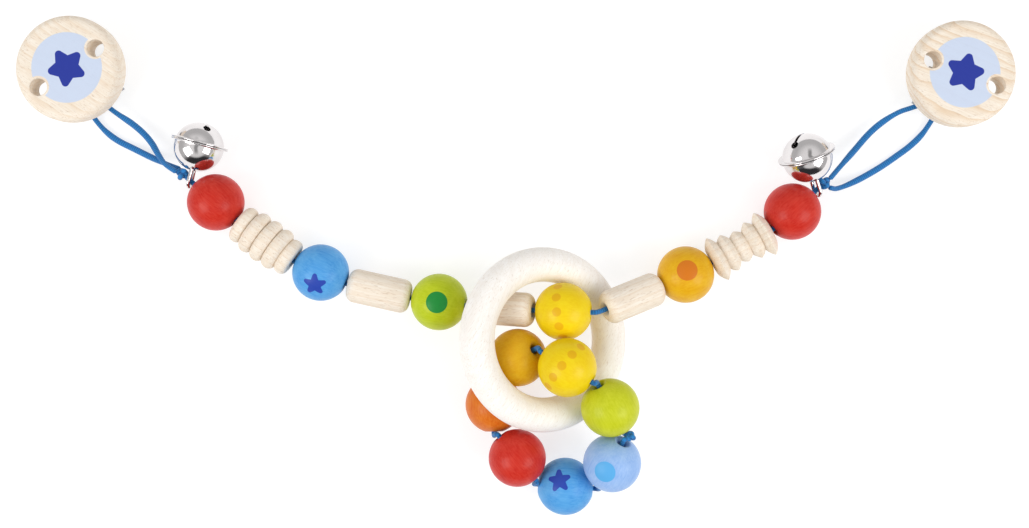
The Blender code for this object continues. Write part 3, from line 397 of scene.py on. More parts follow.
def box_middle(node):
    return np.mean([np.array(corner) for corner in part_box(node)], axis=0)


def joint_place(name):
    return np.array(JOINTS[name]["pos_m"])


def joint_along(name):
    return unit(JOINTS[name]["axis"])


def bead_frame(node):
    """Frame in a bead's middle with X along its bore, which its spin joint gives."""
    return frame_along(joint_place(f"{node}_spin"), joint_along(f"{node}_spin"))


def clip_frame(side):
    """Frame on the table under the middle of a clip's strap bar, with X away from the disc."""
    place = joint_place(f"{side}_clip_swivel")
    return frame_along((place[0], place[1], 0.0), heading(CLIP_HEADINGS[side]))


# Surfaces

def even_steps(points, step):
    """Points at even steps along a line: its length so far is spread evenly, and each
    coordinate is read at those lengths."""
    so_far = np.concatenate(([0.0], np.cumsum(np.linalg.norm(np.diff(points, axis=0), axis=1))))
    even = np.linspace(0.0, so_far[-1], max(3, int(round(so_far[-1] / step)) + 1))
    return np.stack([np.interp(even, so_far, column) for column in points.T], axis=1)


def line_length(points):
    return float(np.linalg.norm(np.diff(points, axis=0), axis=1).sum())


def smooth_route(route, step):
    """Even steps along a Catmull-Rom curve: between two points of the route it is the cubic
    that leans along the lines between their neighbours."""
    route = np.asarray(route, float)
    ends = np.vstack((2 * route[0] - route[1], route, 2 * route[-1] - route[-2]))
    a, b, c, d = (ends[i:len(ends) - 3 + i, None] for i in range(4))
    t = np.linspace(0.0, 1.0, ROUTE_SAMPLES, endpoint=False)[None, :, None]
    curve = 0.5 * (2 * b + (c - a) * t + (2 * a - 5 * b + 4 * c - d) * t ** 2
                   + (3 * b - a - 3 * c + d) * t ** 3)
    return even_steps(np.vstack((curve.reshape(-1, 3), route[-1:])), step)


def bend(start, leaving, end, arriving, pull=0.4, steps=14):
    """Cubic from a start to an end that leaves and arrives along two directions: the weights
    of its four points are (1-t)^3, 3t(1-t)^2, 3t^2(1-t) and t^3."""
    reach = np.linalg.norm(end - start) * pull
    t = np.linspace(0.0, 1.0, steps)[:, None]
    return (start * (1 - t) ** 3 + (start + leaving * reach) * 3 * t * (1 - t) ** 2
            + (end - arriving * reach) * 3 * t ** 2 * (1 - t) + end * t ** 3)


def arc(centre, radius, start, end, steps):
    """Points (along, radius) of an arc: centre plus radius times cos and sin of the angle."""
    angle = np.radians(np.linspace(start, end, steps))
    return np.asarray(centre) + radius * np.stack((np.cos(angle), np.sin(angle)), axis=1)


def softened(profile, wear, count=PROFILE_STEPS):
    """A closed profile at even steps with its corners worn round: each point is the mean of
    its neighbours, weighted by exp(-(distance / wear)^2)."""
    closed = np.vstack((profile, profile[:1]))
    even = even_steps(closed, line_length(closed) / count)[:-1]
    count = len(even)
    away = np.arange(count)
    away = np.minimum(away, count - away) * line_length(closed) / count
    weights = np.exp(-(away / wear) ** 2)
    weights /= weights.sum()
    blurred = np.fft.rfft(even, axis=0) * np.fft.rfft(weights)[:, None]
    return np.fft.irfft(blurred, n=count, axis=0)


def surface(grid, closed=False):
    """Mesh over a grid of points (rows, columns, xyz) whose columns go round. Its rows go
    round too where it is closed, and otherwise its two end rows close on points in their
    middles. The UV map has metres along the rows, and the share of the way round."""
    rows, columns = grid.shape[:2]
    points = grid.reshape(-1, 3)
    i, j = (n.ravel() for n in np.meshgrid(np.arange(rows if closed else rows - 1),
                                           np.arange(columns), indexing="ij"))
    row, column = np.stack((i, i + 1, i + 1, i), 1), np.stack((j, j, j + 1, j + 1), 1)
    quads = row % rows * columns + column % columns
    middles = grid.mean(axis=1)
    so_far = np.concatenate(([0.0], np.cumsum(np.linalg.norm(
        np.diff(grid[:, 0], axis=0, append=grid[:1, 0]), axis=1))))
    uv = [np.stack((so_far[row], column / columns), -1).reshape(-1, 2)]
    fans = np.empty((0, 3), int)
    if not closed:
        points = np.vstack((points, middles[0], middles[-1]))
        around, last, pole = np.arange(columns), (rows - 1) * columns, rows * columns
        beside = (around + 1) % columns
        fans = np.vstack((np.stack((around, beside, np.full(columns, pole)), 1),
                          np.stack((last + beside, last + around, np.full(columns, pole + 1)), 1)))
        turn = np.stack((around, around + 1, around + 0.5), 1) / columns
        uv += [np.stack((np.zeros_like(turn), turn), -1).reshape(-1, 2),
               np.stack((np.full_like(turn, so_far[rows - 1]), turn), -1).reshape(-1, 2)]
    uv = np.vstack(uv)
    a, b, c = points[np.vstack((quads[:, :3], quads[:, [0, 2, 3]], fans))].transpose(1, 0, 2)
    if np.einsum("ij,ij->", a, np.cross(b, c)) < 0:
        square, rest = uv[:quads.size].reshape(-1, 4, 2), uv[quads.size:].reshape(-1, 3, 2)
        uv = np.vstack((square[:, ::-1].reshape(-1, 2), rest[:, ::-1].reshape(-1, 2)))
        quads, fans = quads[:, ::-1], fans[:, ::-1]
    return mesh_of(points, quads, fans, uv)


def mesh_of(points, quads, fans, uv):
    """Mesh with its quads before its triangles, and a UV for each of their corners."""
    corners = np.concatenate((quads.ravel(), fans.ravel()))
    starts = np.concatenate((np.arange(len(quads)) * 4,
                             quads.size + np.arange(len(fans)) * 3))
    mesh = bpy.data.meshes.new("piece")
    mesh.vertices.add(len(points))
    mesh.vertices.foreach_set("co", points.ravel())
    mesh.loops.add(len(corners))
    mesh.loops.foreach_set("vertex_index", corners)
    mesh.polygons.add(len(starts))
    mesh.polygons.foreach_set("loop_start", starts)
    mesh.update(calc_edges=True)
    mesh.uv_layers.new(name="UVMap").data.foreach_set("uv", uv.ravel())
    mesh.validate()
    return shaded(mesh)


def shaded(mesh):
    """The mesh shaded smooth, but for its sharp edges."""
    mesh.shade_smooth()
    mesh.set_sharp_from_angle(angle=SHARP)
    return mesh


def turned(profile, stand, sides=BEAD_SIDES, closed=True):
    """A profile of (along, radius) points turned about a frame's X: a point of the surface is
    (along, radius * cos(turn), radius * sin(turn))."""
    along, radius = np.asarray(profile, float).T[:, :, None]
    turn = np.linspace(0.0, TAU, sides, endpoint=False)
    grid = np.stack(np.broadcast_arrays(along, radius * np.cos(turn), radius * np.sin(turn)), -1)
    return surface(placed(grid, stand), closed)


def tube(path, radius, side, closed=False):
    """A cord or wire carried along a path: each point is the path's point plus the radius
    times cos and sin of the way round, across the path and square to that. The side is a
    direction that the path never runs along. Open ends are rounded over."""
    path = np.asarray(path, float)
    if closed:
        ahead = np.roll(path, -1, axis=0) - np.roll(path, 1, axis=0)
    else:
        ahead = np.gradient(path, axis=0)
    ahead, size = unit(ahead), np.broadcast_to(radius, len(path))
    if not closed:
        angle = np.linspace(0.0, np.pi / 2, END_STEPS + 1)[1:-1, None]
        first = path[0] - ahead[0] * size[0] * np.cos(angle)
        last = path[-1] + ahead[-1] * size[-1] * np.cos(angle)[::-1]
        size = np.concatenate((size[0] * np.sin(angle)[:, 0], size,
                               size[-1] * np.sin(angle)[::-1, 0]))
        path = np.vstack((first, path, last))
        ahead = np.vstack((np.repeat(ahead[:1], len(angle), 0), ahead,
                           np.repeat(ahead[-1:], len(angle), 0)))
    across = unit(np.cross(side, ahead))
    square = np.cross(ahead, across)
    turn = np.linspace(0.0, TAU, CORD_SIDES, endpoint=False)[:, None]
    grid = path[:, None] + size[:, None, None] * (across[:, None] * np.cos(turn)
                                                  + square[:, None] * np.sin(turn))
    return surface(grid, closed)


def knotted(size, flat, steps=150):
    """Path of an overhand knot pulled tight: (sin t + 2 sin 2t, cos t - 2 cos 2t) round the
    frame's X, and -sin 3t along it times the flatness."""
    t = np.linspace(0.0, TAU, steps, endpoint=False)
    return size * np.stack((-flat * np.sin(3 * t), np.sin(t) + 2 * np.sin(2 * t),
                            np.cos(t) - 2 * np.cos(2 * t)), axis=1)


def boxed(low, high, stand):
    """A box between two corners of a frame: its points are all the choices of low and high."""
    pick = np.array([(x, y, z) for x in (0, 1) for y in (0, 1) for z in (0, 1)])
    points = placed(np.where(pick == 1, np.asarray(high, float), np.asarray(low, float)), stand)
    faces = ((0, 1, 3, 2), (4, 6, 7, 5), (0, 4, 5, 1), (2, 3, 7, 6), (0, 2, 6, 4), (1, 5, 7, 3))
    mesh = bpy.data.meshes.new("box")
    mesh.from_pydata(points.tolist(), [], faces)
    return mesh


def drill(radius, low, high, stand):
    """A round cutter about a frame's X."""
    return turned(((low, radius), (high, radius)), stand, DRILL_SIDES, closed=False)


def linked(name, data):
    """A new object in the scene."""
    item = bpy.data.objects.new(name, data)
    bpy.context.scene.collection.objects.link(item)
    return item


def carved(mesh, cutters):
    """The mesh with each cutter taken out of it, worked out in millimetres."""
    for shape in (mesh, *cutters):
        shape.transform(Matrix.Scale(1 / MM, 4))
    piece = linked("carved", mesh)
    tools = [linked("cutter", cutter) for cutter in cutters]
    for item in tools:
        cut = piece.modifiers.new("cut", "BOOLEAN")
        cut.operation, cut.solver, cut.object = "DIFFERENCE", "EXACT", item
    graph = bpy.context.evaluated_depsgraph_get()
    made = bpy.data.meshes.new_from_object(piece.evaluated_get(graph))
    made.transform(Matrix.Scale(MM, 4))
    for item in (piece, *tools):
        data = item.data
        bpy.data.objects.remove(item)
        bpy.data.meshes.remove(data)
    return shaded(made)


# Shader nodes

VECTOR, NUMBER = "NodeSocketVector", "NodeSocketFloat"


class Wires:
    """Adds nodes to a tree. A value is a socket to join, or what to set a socket to."""

    def __init__(self, tree):
        self.tree = tree

    def feed(self, socket, value):
        if isinstance(value, bpy.types.NodeSocket):
            self.tree.links.new(value, socket)
        else:
            socket.default_value = value

    def node(self, kind, settings, values):
        made = self.tree.nodes.new(kind)
        for name, value in settings.items():
            setattr(made, name, value)
        for key, value in values.items():
            self.feed(made.inputs[key], value)
        return made

    def maths(self, operation, *values):
        return self.node("ShaderNodeMath", {"operation": operation},
                         dict(enumerate(values))).outputs[0]

    def times(self, *values):
        return self.maths("MULTIPLY", *values)

    def plus(self, *values):
        return self.maths("ADD", *values)

    def less(self, *values):
        return self.maths("SUBTRACT", *values)

    def vector(self, operation, *values):
        made = self.node("ShaderNodeVectorMath", {"operation": operation}, dict(enumerate(values)))
        return made.outputs["Value" if operation in ("LENGTH", "DOT_PRODUCT") else "Vector"]

    def stretched(self, vector, scale):
        return self.vector("MULTIPLY", vector, scale)

    def in_millimetres(self, vector):
        return self.stretched(vector, (1 / MM,) * 3)

    def parts(self, vector):
        return self.node("ShaderNodeSeparateXYZ", {}, {0: vector}).outputs

    def join(self, x, y, z):
        return self.node("ShaderNodeCombineXYZ", {}, {0: x, 1: y, 2: z}).outputs[0]

    def noise(self, vector, detail=2.0, roughness=0.5):
        """Noise with cells one unit across."""
        return self.node("ShaderNodeTexNoise", {}, {"Vector": vector, "Scale": 1.0,
                         "Detail": detail, "Roughness": roughness}).outputs[0]

    def slope(self, value, low, high):
        """0 at low, 1 at high, and smooth between them."""
        return self.node("ShaderNodeMapRange", {"interpolation_type": "SMOOTHSTEP"},
                         {"Value": value, "From Min": low, "From Max": high}).outputs[0]

    def within(self, away, radius, blur):
        """1 as far out as the radius, and smooth down to 0 over the blur beyond it."""
        return self.slope(away, self.plus(radius, blur), radius)

    def mix(self, factor, first, second):
        return self.node("ShaderNodeMix", {"data_type": "RGBA"},
                         {0: factor, 6: first, 7: second}).outputs[2]

    def place(self, stand):
        """Object coordinates in a frame of the piece."""
        origin, axes = stand
        return self.node("ShaderNodeMapping", {"vector_type": "TEXTURE"}, {
            "Vector": self.coordinates("Object"), "Location": tuple(origin),
            "Rotation": tuple(Matrix(axes.T.tolist()).to_euler())}).outputs[0]

    def coordinates(self, kind):
        return self.node("ShaderNodeTexCoord", {}, {}).outputs[kind]

    def group(self, name, values):
        """The outputs of a shader group, which is built the first time that it is used."""
        made = self.tree.nodes.new("ShaderNodeGroup")
        made.node_tree = bpy.data.node_groups.get(name) or GROUP_MAKERS[name]()
        for key, value in values.items():
            self.feed(made.inputs[key], value)
        return made.outputs

    def mask(self, name, vector, blur, sizes):
        """Where a print lies, from the group of that name."""
        return self.group(name, {"Vector": vector, "Blur": blur, **sizes})["Mask"]


def shader_group(name, inputs, outputs):
    """A node group with named sockets: its tree, its wires, what it is given and gives."""
    tree = bpy.data.node_groups.new(name, "ShaderNodeTree")
    for socket, kind in inputs:
        tree.interface.new_socket(socket, in_out="INPUT", socket_type=kind)
    for socket in outputs:
        tree.interface.new_socket(socket, in_out="OUTPUT", socket_type=NUMBER)
    given = tree.nodes.new("NodeGroupInput").outputs
    gives = tree.nodes.new("NodeGroupOutput").inputs
    return tree, Wires(tree), given, gives


def grain_group():
    """Wood whose fibres run along X. Its growth rings are where the distance from a pith line,
    pushed about by slow noise, passes a whole number of spacings. Its fibres are noise drawn
    out along X, and its flecks are the peaks of a finer noise."""
    tree, wires, given, gives = shader_group(
        "Wood grain", (("Vector", VECTOR), ("Pith", VECTOR), ("Spacing", NUMBER)),
        ("Rings", "Fibres", "Flecks", "Height"))
    point = wires.in_millimetres(given["Vector"])
    wander = wires.noise(wires.stretched(point, WANDER_CELLS), 2.0)
    _, y, z = wires.parts(wires.vector("ADD", point, wires.in_millimetres(given["Pith"])))
    away = wires.vector("LENGTH", wires.join(0.0, y, z))
    away = wires.plus(away, wires.times(wander, WANDER_REACH))
    turns = wires.maths("DIVIDE", away, wires.maths("DIVIDE", given["Spacing"], MM))
    late = wires.maths("POWER", wires.maths("FRACT", turns), 3.0)
    late = wires.times(late, wires.slope(wires.maths("FRACT", turns), 1.0, 0.93))
    fibres = wires.noise(wires.stretched(point, FIBRE_CELLS), 4.0, 0.65)
    fibres = wires.slope(fibres, 0.36, 0.66)
    flecks = wires.slope(wires.noise(wires.stretched(point, FLECK_CELLS), 1.0), 0.61, 0.72)
    worn = wires.plus(wires.times(fibres, 0.5), flecks)
    for name, value in (("Rings", late), ("Fibres", fibres), ("Flecks", flecks),
                        ("Height", wires.less(1.0, worn))):
        wires.feed(gives[name], value)
    return tree


def finish_group():
    """Uneven stain or lacquer: slow noise for its tone, finer noise for its gloss."""
    tree, wires, given, gives = shader_group(
        "Hand finish", (("Vector", VECTOR),), ("Tone", "Gloss"))
    point = wires.in_millimetres(given["Vector"])
    tone = wires.noise(wires.stretched(point, TONE_CELLS), 3.0, 0.6)
    gloss = wires.noise(wires.stretched(point, GLOSS_CELLS), 3.0, 0.6)
    wires.feed(gives["Tone"], wires.slope(tone, 0.3, 0.7))
    wires.feed(gives["Gloss"], wires.slope(gloss, 0.25, 0.75))
    return tree


def dot_group():
    """A round print about the frame's Z: 1 within the radius of that axis, on its own side."""
    tree, wires, given, gives = shader_group(
        "Round print", (("Vector", VECTOR), ("Radius", NUMBER), ("Blur", NUMBER)), ("Mask",))
    x, y, z = wires.parts(given["Vector"])
    away = wires.vector("LENGTH", wires.join(x, y, 0.0))
    inside = wires.within(away, given["Radius"], given["Blur"])
    wires.feed(gives["Mask"], wires.times(inside, wires.maths("GREATER_THAN", z, 0.0)))
    return tree


def row_group():
    """Dots round the circle of a ball that is square to the frame's Z: the angle round Z is
    folded into one step, and a dot is where that arc and the height off the circle are
    within its radius."""
    tree, wires, given, gives = shader_group(
        "Dot row", (("Vector", VECTOR), ("Count", NUMBER), ("Radius", NUMBER), ("Blur", NUMBER)),
        ("Mask",))
    x, y, z = wires.parts(given["Vector"])
    step = wires.maths("DIVIDE", TAU, given["Count"])
    turn = wires.maths("WRAP", wires.maths("ARCTAN2", y, x), wires.times(step, 0.5),
                       wires.times(step, -0.5))
    along = wires.times(turn, wires.vector("LENGTH", given["Vector"]))
    away = wires.vector("LENGTH", wires.join(along, z, 0.0))
    wires.feed(gives["Mask"], wires.within(away, given["Radius"], given["Blur"]))
    return tree


def star_group():
    """A five-pointed star about the frame's Z with a tip along X. The angle is folded to half
    a point, so one straight edge runs from tip to waist, and the print reaches as far as its
    rounding beyond that edge."""
    tree, wires, given, gives = shader_group(
        "Star print", (("Vector", VECTOR), ("Tip", NUMBER), ("Waist", NUMBER),
                       ("Rounding", NUMBER), ("Blur", NUMBER)), ("Mask",))
    x, y, z = wires.parts(given["Vector"])
    away = wires.vector("LENGTH", wires.join(x, y, 0.0))
    fifth, half = TAU / 5, TAU / 10
    turn = wires.maths("ABSOLUTE", wires.maths(
        "WRAP", wires.maths("ARCTAN2", y, x), half, half - fifth))
    px = wires.times(away, wires.maths("COSINE", turn))
    py = wires.times(away, wires.maths("SINE", turn))
    tip = wires.less(given["Tip"], given["Rounding"])
    waist = wires.less(given["Waist"], given["Rounding"])
    wx = wires.times(waist, float(np.cos(half)))
    wy = wires.times(waist, float(np.sin(half)))
    edge = wires.join(wires.less(wx, tip), wy, 0.0)
    spot = wires.join(wires.less(px, tip), py, 0.0)
    along = wires.maths("DIVIDE", wires.vector("DOT_PRODUCT", spot, edge),
                        wires.vector("DOT_PRODUCT", edge, edge))
    along = wires.node("ShaderNodeClamp", {}, {0: along}).outputs[0]
    nearest = wires.node("ShaderNodeVectorMath", {"operation": "SCALE"},
                         {0: edge, "Scale": along}).outputs[0]
    gap = wires.vector("LENGTH", wires.vector("SUBTRACT", spot, nearest))
    _, _, side = wires.parts(wires.vector("CROSS_PRODUCT", edge, spot))
    sign = wires.less(1.0, wires.times(wires.maths("GREATER_THAN", side, 0.0), 2.0))
    inside = wires.within(wires.times(gap, sign), given["Rounding"], given["Blur"])
    wires.feed(gives["Mask"], wires.times(inside, wires.maths("GREATER_THAN", z, 0.0)))
    return tree


def braid_group():
    """Two sets of threads that cross over a round cord: the product of two waves that wind
    round it in opposite directions, from its UV map's metres and share of the way round."""
    tree, wires, given, gives = shader_group(
        "Braid", (("Vector", VECTOR), ("Pitch", NUMBER), ("Threads", NUMBER)), ("Thread",))
    u, v, _ = wires.parts(given["Vector"])
    along = wires.times(wires.maths("DIVIDE", u, given["Pitch"]), TAU)
    around = wires.times(wires.times(v, given["Threads"]), TAU)
    one = wires.maths("SINE", wires.plus(along, around))
    other = wires.maths("SINE", wires.less(along, around))
    wires.feed(gives["Thread"], wires.slope(wires.times(one, other), -0.7, 0.8))
    return tree


GROUP_MAKERS = {
    "Wood grain": grain_group, "Hand finish": finish_group, "Round print": dot_group,
    "Dot row": row_group, "Star print": star_group, "Braid": braid_group,
}


def opaque(tint):
    return (*tint, 1.0)


def new_material(name, fixed):
    """A material with its wires and its shader, whose fixed values are set on the sockets."""
    material = bpy.data.materials.new(name)
    material.use_nodes = True
    shader = material.node_tree.nodes["Principled BSDF"]
    for socket, value in fixed.items():
        shader.inputs[socket].default_value = value
    return material, Wires(material.node_tree), shader.inputs


def add_bump(wires, inputs, height, distance, strength):
    bump = wires.node("ShaderNodeBump", {}, {"Height": height, "Distance": distance,
                                             "Strength": strength})
    wires.feed(inputs["Normal"], bump.outputs[0])


def grain_and_finish(wires, stand, pith, spacing):
    """The wood's fibres, rings and flecks in a frame, and the unevenness of its finish."""
    point = wires.place(stand)
    grain = wires.group("Wood grain", {"Vector": point, "Spacing": spacing,
                                       "Pith": tuple(n * MM for n in pith)})
    return grain, wires.group("Hand finish", {"Vector": point})


def wood_material(name, stand, tints, pith, rings=PLAIN_RINGS, spacing=None):
    """Bare sanded wood whose fibres run along the frame's X."""
    wood, fibre, fleck, ring = (opaque(tint) for tint in tints)
    material, wires, inputs = new_material(name, {"Specular IOR Level": BARE["specular"]})
    spacing = spacing or bpy.context.scene.chain_wood.ring_spacing
    grain, finish = grain_and_finish(wires, stand, pith, spacing)
    tint = wires.mix(wires.times(grain["Fibres"], BARE["fibres"]), wood, fibre)
    tint = wires.mix(wires.times(grain["Rings"], rings), tint, ring)
    tint = wires.mix(wires.times(grain["Flecks"], BARE["flecks"]), tint, fleck)
    tint = wires.mix(wires.times(finish["Tone"], BARE["tone"]), tint, fibre)
    wires.feed(inputs["Base Color"], tint)
    wires.feed(inputs["Roughness"], wires.maths("MULTIPLY_ADD", grain["Fibres"], *BARE["rough"]))
    add_bump(wires, inputs, grain["Height"], *BARE["bump"])
    return material, wires, inputs, tint


def painted_material(name, stand, tint):
    """Translucent stain under clear lacquer: the wood's fibres show through it faintly."""
    paint = bpy.context.scene.chain_paint
    material, wires, inputs = new_material(name, {
        "Specular IOR Level": PAINTED["specular"], "Coat Weight": paint.gloss,
        "Coat Roughness": PAINTED["coat_rough"]})
    grain, finish = grain_and_finish(wires, stand, PAINTED_PITH, PAINTED_SPACING)
    deep, thin = (opaque(tuple(np.array(tint) ** PAINTED[power])) for power in ("deep", "thin"))
    shade = wires.mix(finish["Tone"], opaque(tint), deep)
    shade = wires.mix(wires.times(grain["Fibres"], PAINTED["fibres"]), shade, thin)
    shade = wires.mix(wires.times(grain["Rings"], PAINTED["rings"]), shade, deep)
    wires.feed(inputs["Roughness"],
               wires.maths("MULTIPLY_ADD", finish["Gloss"], *PAINTED["rough"]))
    add_bump(wires, inputs, grain["Height"], *PAINTED["bump"])
    return material, wires, inputs, shade


def metal_material(name, stand, tint, roughness, streaks):
    """Plated or brushed metal: its gloss is fine noise, with the streaks' cells to a
    millimetre along the frame's axes."""
    material, wires, inputs = new_material(name, {"Metallic": 1.0})
    point = wires.in_millimetres(wires.place(stand))
    lines = wires.noise(wires.stretched(point, streaks), 3.0, 0.6)
    dull = wires.noise(wires.stretched(point, DULL_CELLS), 2.0)
    shade = wires.mix(dull, opaque(tint), opaque(tuple(np.array(tint) * DULL_SHADE)))
    wires.feed(inputs["Base Color"], shade)
    wires.feed(inputs["Roughness"], wires.maths("MULTIPLY_ADD", lines, roughness, roughness * 0.5))
    add_bump(wires, inputs, lines, 0.01 * MM, 0.25)
    return material


def elastic_material():
    """Braided textile cover: pale threads, with painted shade darker between them."""
    made = bpy.data.materials.get("braided_elastic")
    if made:
        return made
    elastic = bpy.context.scene.chain_elastic
    made, wires, inputs = new_material("braided_elastic", {
        "Roughness": 0.72, "Specular IOR Level": 0.3, "Sheen Weight": 0.25,
        "Sheen Roughness": 0.5})
    thread = wires.group("Braid", {"Vector": wires.coordinates("UV"), "Pitch": elastic.pitch,
                                   "Threads": BRAID_THREADS})["Thread"]
    # Painted shade in the grooves between the threads, mixed in by the braid's waves
    tint = wires.mix(thread, opaque(elastic.shade), opaque(elastic.thread))
    wires.feed(inputs["Base Color"], tint)
    add_bump(wires, inputs, thread, 0.08 * MM, 0.7)
    return made


def add_piece(node, mesh, material):
    """The fine piece that stands for a CAD node and rides on its body."""
    piece = linked(f"fine_{node}", mesh)
    mesh.name = piece.name
    mesh.materials.clear()
    mesh.materials.append(material)
    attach(piece, BODY_OF[node])
    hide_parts(node)
    return piece


# Beads

def with_bore(outside, half):
    """An outside profile closed through a bore that is countersunk at both ends."""
    beads = bpy.context.scene.chain_beads
    mouth, bore, inner = beads.mouth / 2, beads.bore / 2, half - beads.mouth_depth
    return np.vstack((outside, ((half, mouth), (inner, bore), (-inner, bore), (-half, mouth))))


def ball_half():
    """From a ball's middle to the flat ring of its mouth: the side of a right triangle whose
    longest side is the ball's radius."""
    beads = bpy.context.scene.chain_beads
    return float(np.sqrt((beads.ball_diameter / 2) ** 2 - (beads.mouth / 2) ** 2))


def ball_profile():
    """An arc of the ball's radius from one mouth to the other."""
    beads = bpy.context.scene.chain_beads
    edge = np.degrees(np.arcsin(beads.mouth / beads.ball_diameter))
    outside = arc((0.0, 0.0), beads.ball_diameter / 2, 180.0 - edge, edge, BALL_STEPS)
    return softened(with_bore(outside[1:-1], ball_half()), beads.wear)


def cylinder_profile():
    """A straight side with a quarter of a circle at each end."""
    beads = bpy.context.scene.chain_beads
    half, edge = beads.cylinder_length / 2, beads.cylinder_edge
    flat = beads.cylinder_diameter / 2 - edge
    outside = np.vstack((arc((edge - half, flat), edge, 180.0, 90.0, CYLINDER_EDGE_STEPS),
                         arc((half - edge, flat), edge, 90.0, 0.0, CYLINDER_EDGE_STEPS)))
    return softened(with_bore(outside, half), beads.wear)


def ribbed_profile(diameter, form):
    """Ribs side by side. Across a rib, s goes from 0 to 1, and its height over the groove
    is (1 - |2s - 1|^p)^q times the rise to its crest."""
    widths = np.array(form["widths"])[:, None] * MM
    crests, grooves = (np.array(form[key])[:, None] for key in ("crests", "grooves"))
    p, q = form["round"]
    s = np.linspace(0.0, 1.0, RIB_STEPS, endpoint=False)
    foot = np.where(s < 0.5, grooves[:-1], grooves[1:])
    rise = (1 - np.abs(2 * s - 1) ** p) ** q
    half = widths.sum() / 2
    along = np.cumsum(widths)[:, None] - widths - half + widths * s
    radius = diameter / 2 * (foot + (crests - foot) * rise)
    outside = np.stack((along.ravel(), radius.ravel()), axis=1)
    outside = np.vstack((outside, (half, diameter / 2 * form["grooves"][-1])))
    wear = bpy.context.scene.chain_beads.wear
    return softened(with_bore(outside, half), wear * RIB_WEAR, PROFILE_STEPS * 2)


def spot_direction(middle, across, upward):
    """Direction from a ball's middle to the spot that the camera sees across and up from it,
    in millimetres: the rest of the radius is towards the camera."""
    toward = unit(CAMERA_PLACE - middle)
    right = unit(np.array((1.0, 0.0, 0.0)) - toward * toward[0])
    radius = bpy.context.scene.chain_beads.ball_diameter / 2 / MM
    depth = np.sqrt(radius ** 2 - across ** 2 - upward ** 2)
    return unit(right * across + np.cross(toward, right) * upward + toward * depth)


def print_frame(middle, spot, turn=0.0):
    """Frame of a print: Z through the spot, and X turned from the picture's right."""
    z = spot_direction(middle, *spot)
    x = unit(np.array((1.0, 0.0, 0.0)) - z * z[0])
    c, s = np.cos(np.radians(turn)), np.sin(np.radians(turn))
    return facing(middle, x * c + np.cross(z, x) * s, z)


def row_frame(middle, spots):
    """Frame of a row of dots: Z square to its circle, and X through its middle dot."""
    first, between, last = (spot_direction(middle, *spot) for spot in spots)
    z = unit(np.cross(first, last))
    return facing(middle, unit(between - z * (between @ z)), z)


def wood_tints():
    wood = bpy.context.scene.chain_wood
    return wood.wood, wood.fibre, wood.fleck, wood.growth_ring


class MakeBalls(bpy.types.Operator):
    """Turns the painted balls of the chain and the rattle, with their prints"""
    bl_idname = "pram_chain.make_balls"
    bl_label = "Make Balls"

    def execute(self, context):
        paint = context.scene.chain_paint
        profile = ball_profile()
        for node, tint in BALLS.items():
            stand = bead_frame(node)
            middle = stand[0]
            material, wires, inputs, shade = painted_material(f"{node}_paint", stand,
                                                              getattr(paint, tint))
            if tint == "red":
                for socket, value in RED_SHEEN.items():
                    inputs[socket].default_value = value
                inputs["Sheen Tint"].default_value = opaque(paint.red_sheen)
            mask, ink = self.printed(wires, node, middle)
            if mask is not None:
                shade = wires.mix(mask, shade, opaque(getattr(paint, ink)))
            wires.feed(inputs["Base Color"], shade)
            add_piece(node, turned(profile, stand), material)
        return {"FINISHED"}

    def printed(self, wires, node, middle):
        """The mask of a ball's print and its ink, or None for both on a plain ball."""
        if node in DOT_PRINTS:
            spot, width, ink = DOT_PRINTS[node]
            return wires.mask("Round print", wires.place(print_frame(middle, spot)), PRINT_BLUR,
                              {"Radius": width / 2 * MM}), ink
        if node in STAR_PRINTS:
            spot, turn = STAR_PRINTS[node]
            return wires.mask("Star print", wires.place(print_frame(middle, spot, 90.0 + turn)),
                              PRINT_BLUR, BEAD_STAR), "bead_star"
        if node in DOT_ROWS:
            return wires.mask("Dot row", wires.place(row_frame(middle, DOT_ROWS[node])),
                              ROW_BLUR, ROW_DOTS), "row_ink"
        return None, None


class MakeNaturalBeads(bpy.types.Operator):
    """Turns the natural cylinders, the ribbed barrel and the ribbed spool"""
    bl_idname = "pram_chain.make_natural_beads"
    bl_label = "Make Natural Beads"

    def execute(self, context):
        beads = context.scene.chain_beads
        profiles = dict.fromkeys(CYLINDERS, cylinder_profile())
        profiles["ribbed_barrel"] = ribbed_profile(beads.barrel_diameter, BARREL)
        profiles["ribbed_spool"] = ribbed_profile(beads.spool_diameter, SPOOL)
        for number, (node, profile) in enumerate(profiles.items()):
            stand = bead_frame(node)
            pith = (PITH + number * PITH_STEP).tolist()
            material = wood_material(f"{node}_wood", stand, wood_tints(), pith)[0]
            add_piece(node, turned(profile, stand), material)
        return {"FINISHED"}


class MakeRing(bpy.types.Operator):
    """Turns the teething ring"""
    bl_idname = "pram_chain.make_ring"
    bl_label = "Make Ring"

    def execute(self, context):
        ring = context.scene.chain_ring
        stand = frame_along(joint_place("ring_spin"), joint_along("ring_spin"))
        radius = (ring.diameter - ring.section) / 2
        section = arc((0.0, radius), ring.section / 2, 0.0, 360.0, RING_SIDES + 1)[:-1]
        fibres = frame_along(stand[0], heading(RING_FIBRES), stand[1][0])
        tints = (ring.wood, ring.fibre, ring.fleck, ring.fibre)
        material = wood_material("ring_wood", fibres, tints, RING_PITH, RING_WOOD_RINGS,
                                 RING_WOOD_SPACING)[0]
        add_piece("teething_ring", turned(section, stand, RING_STEPS), material)
        return {"FINISHED"}


# Elastic

def add_elastic(node, mesh):
    return add_piece(node, mesh, elastic_material())


def draw_elastic(node, points):
    """A stretch of elastic along a line of points."""
    radius = bpy.context.scene.chain_elastic.diameter / 2
    add_elastic(node, tube(even_steps(points, CORD_STEP), radius, UP))


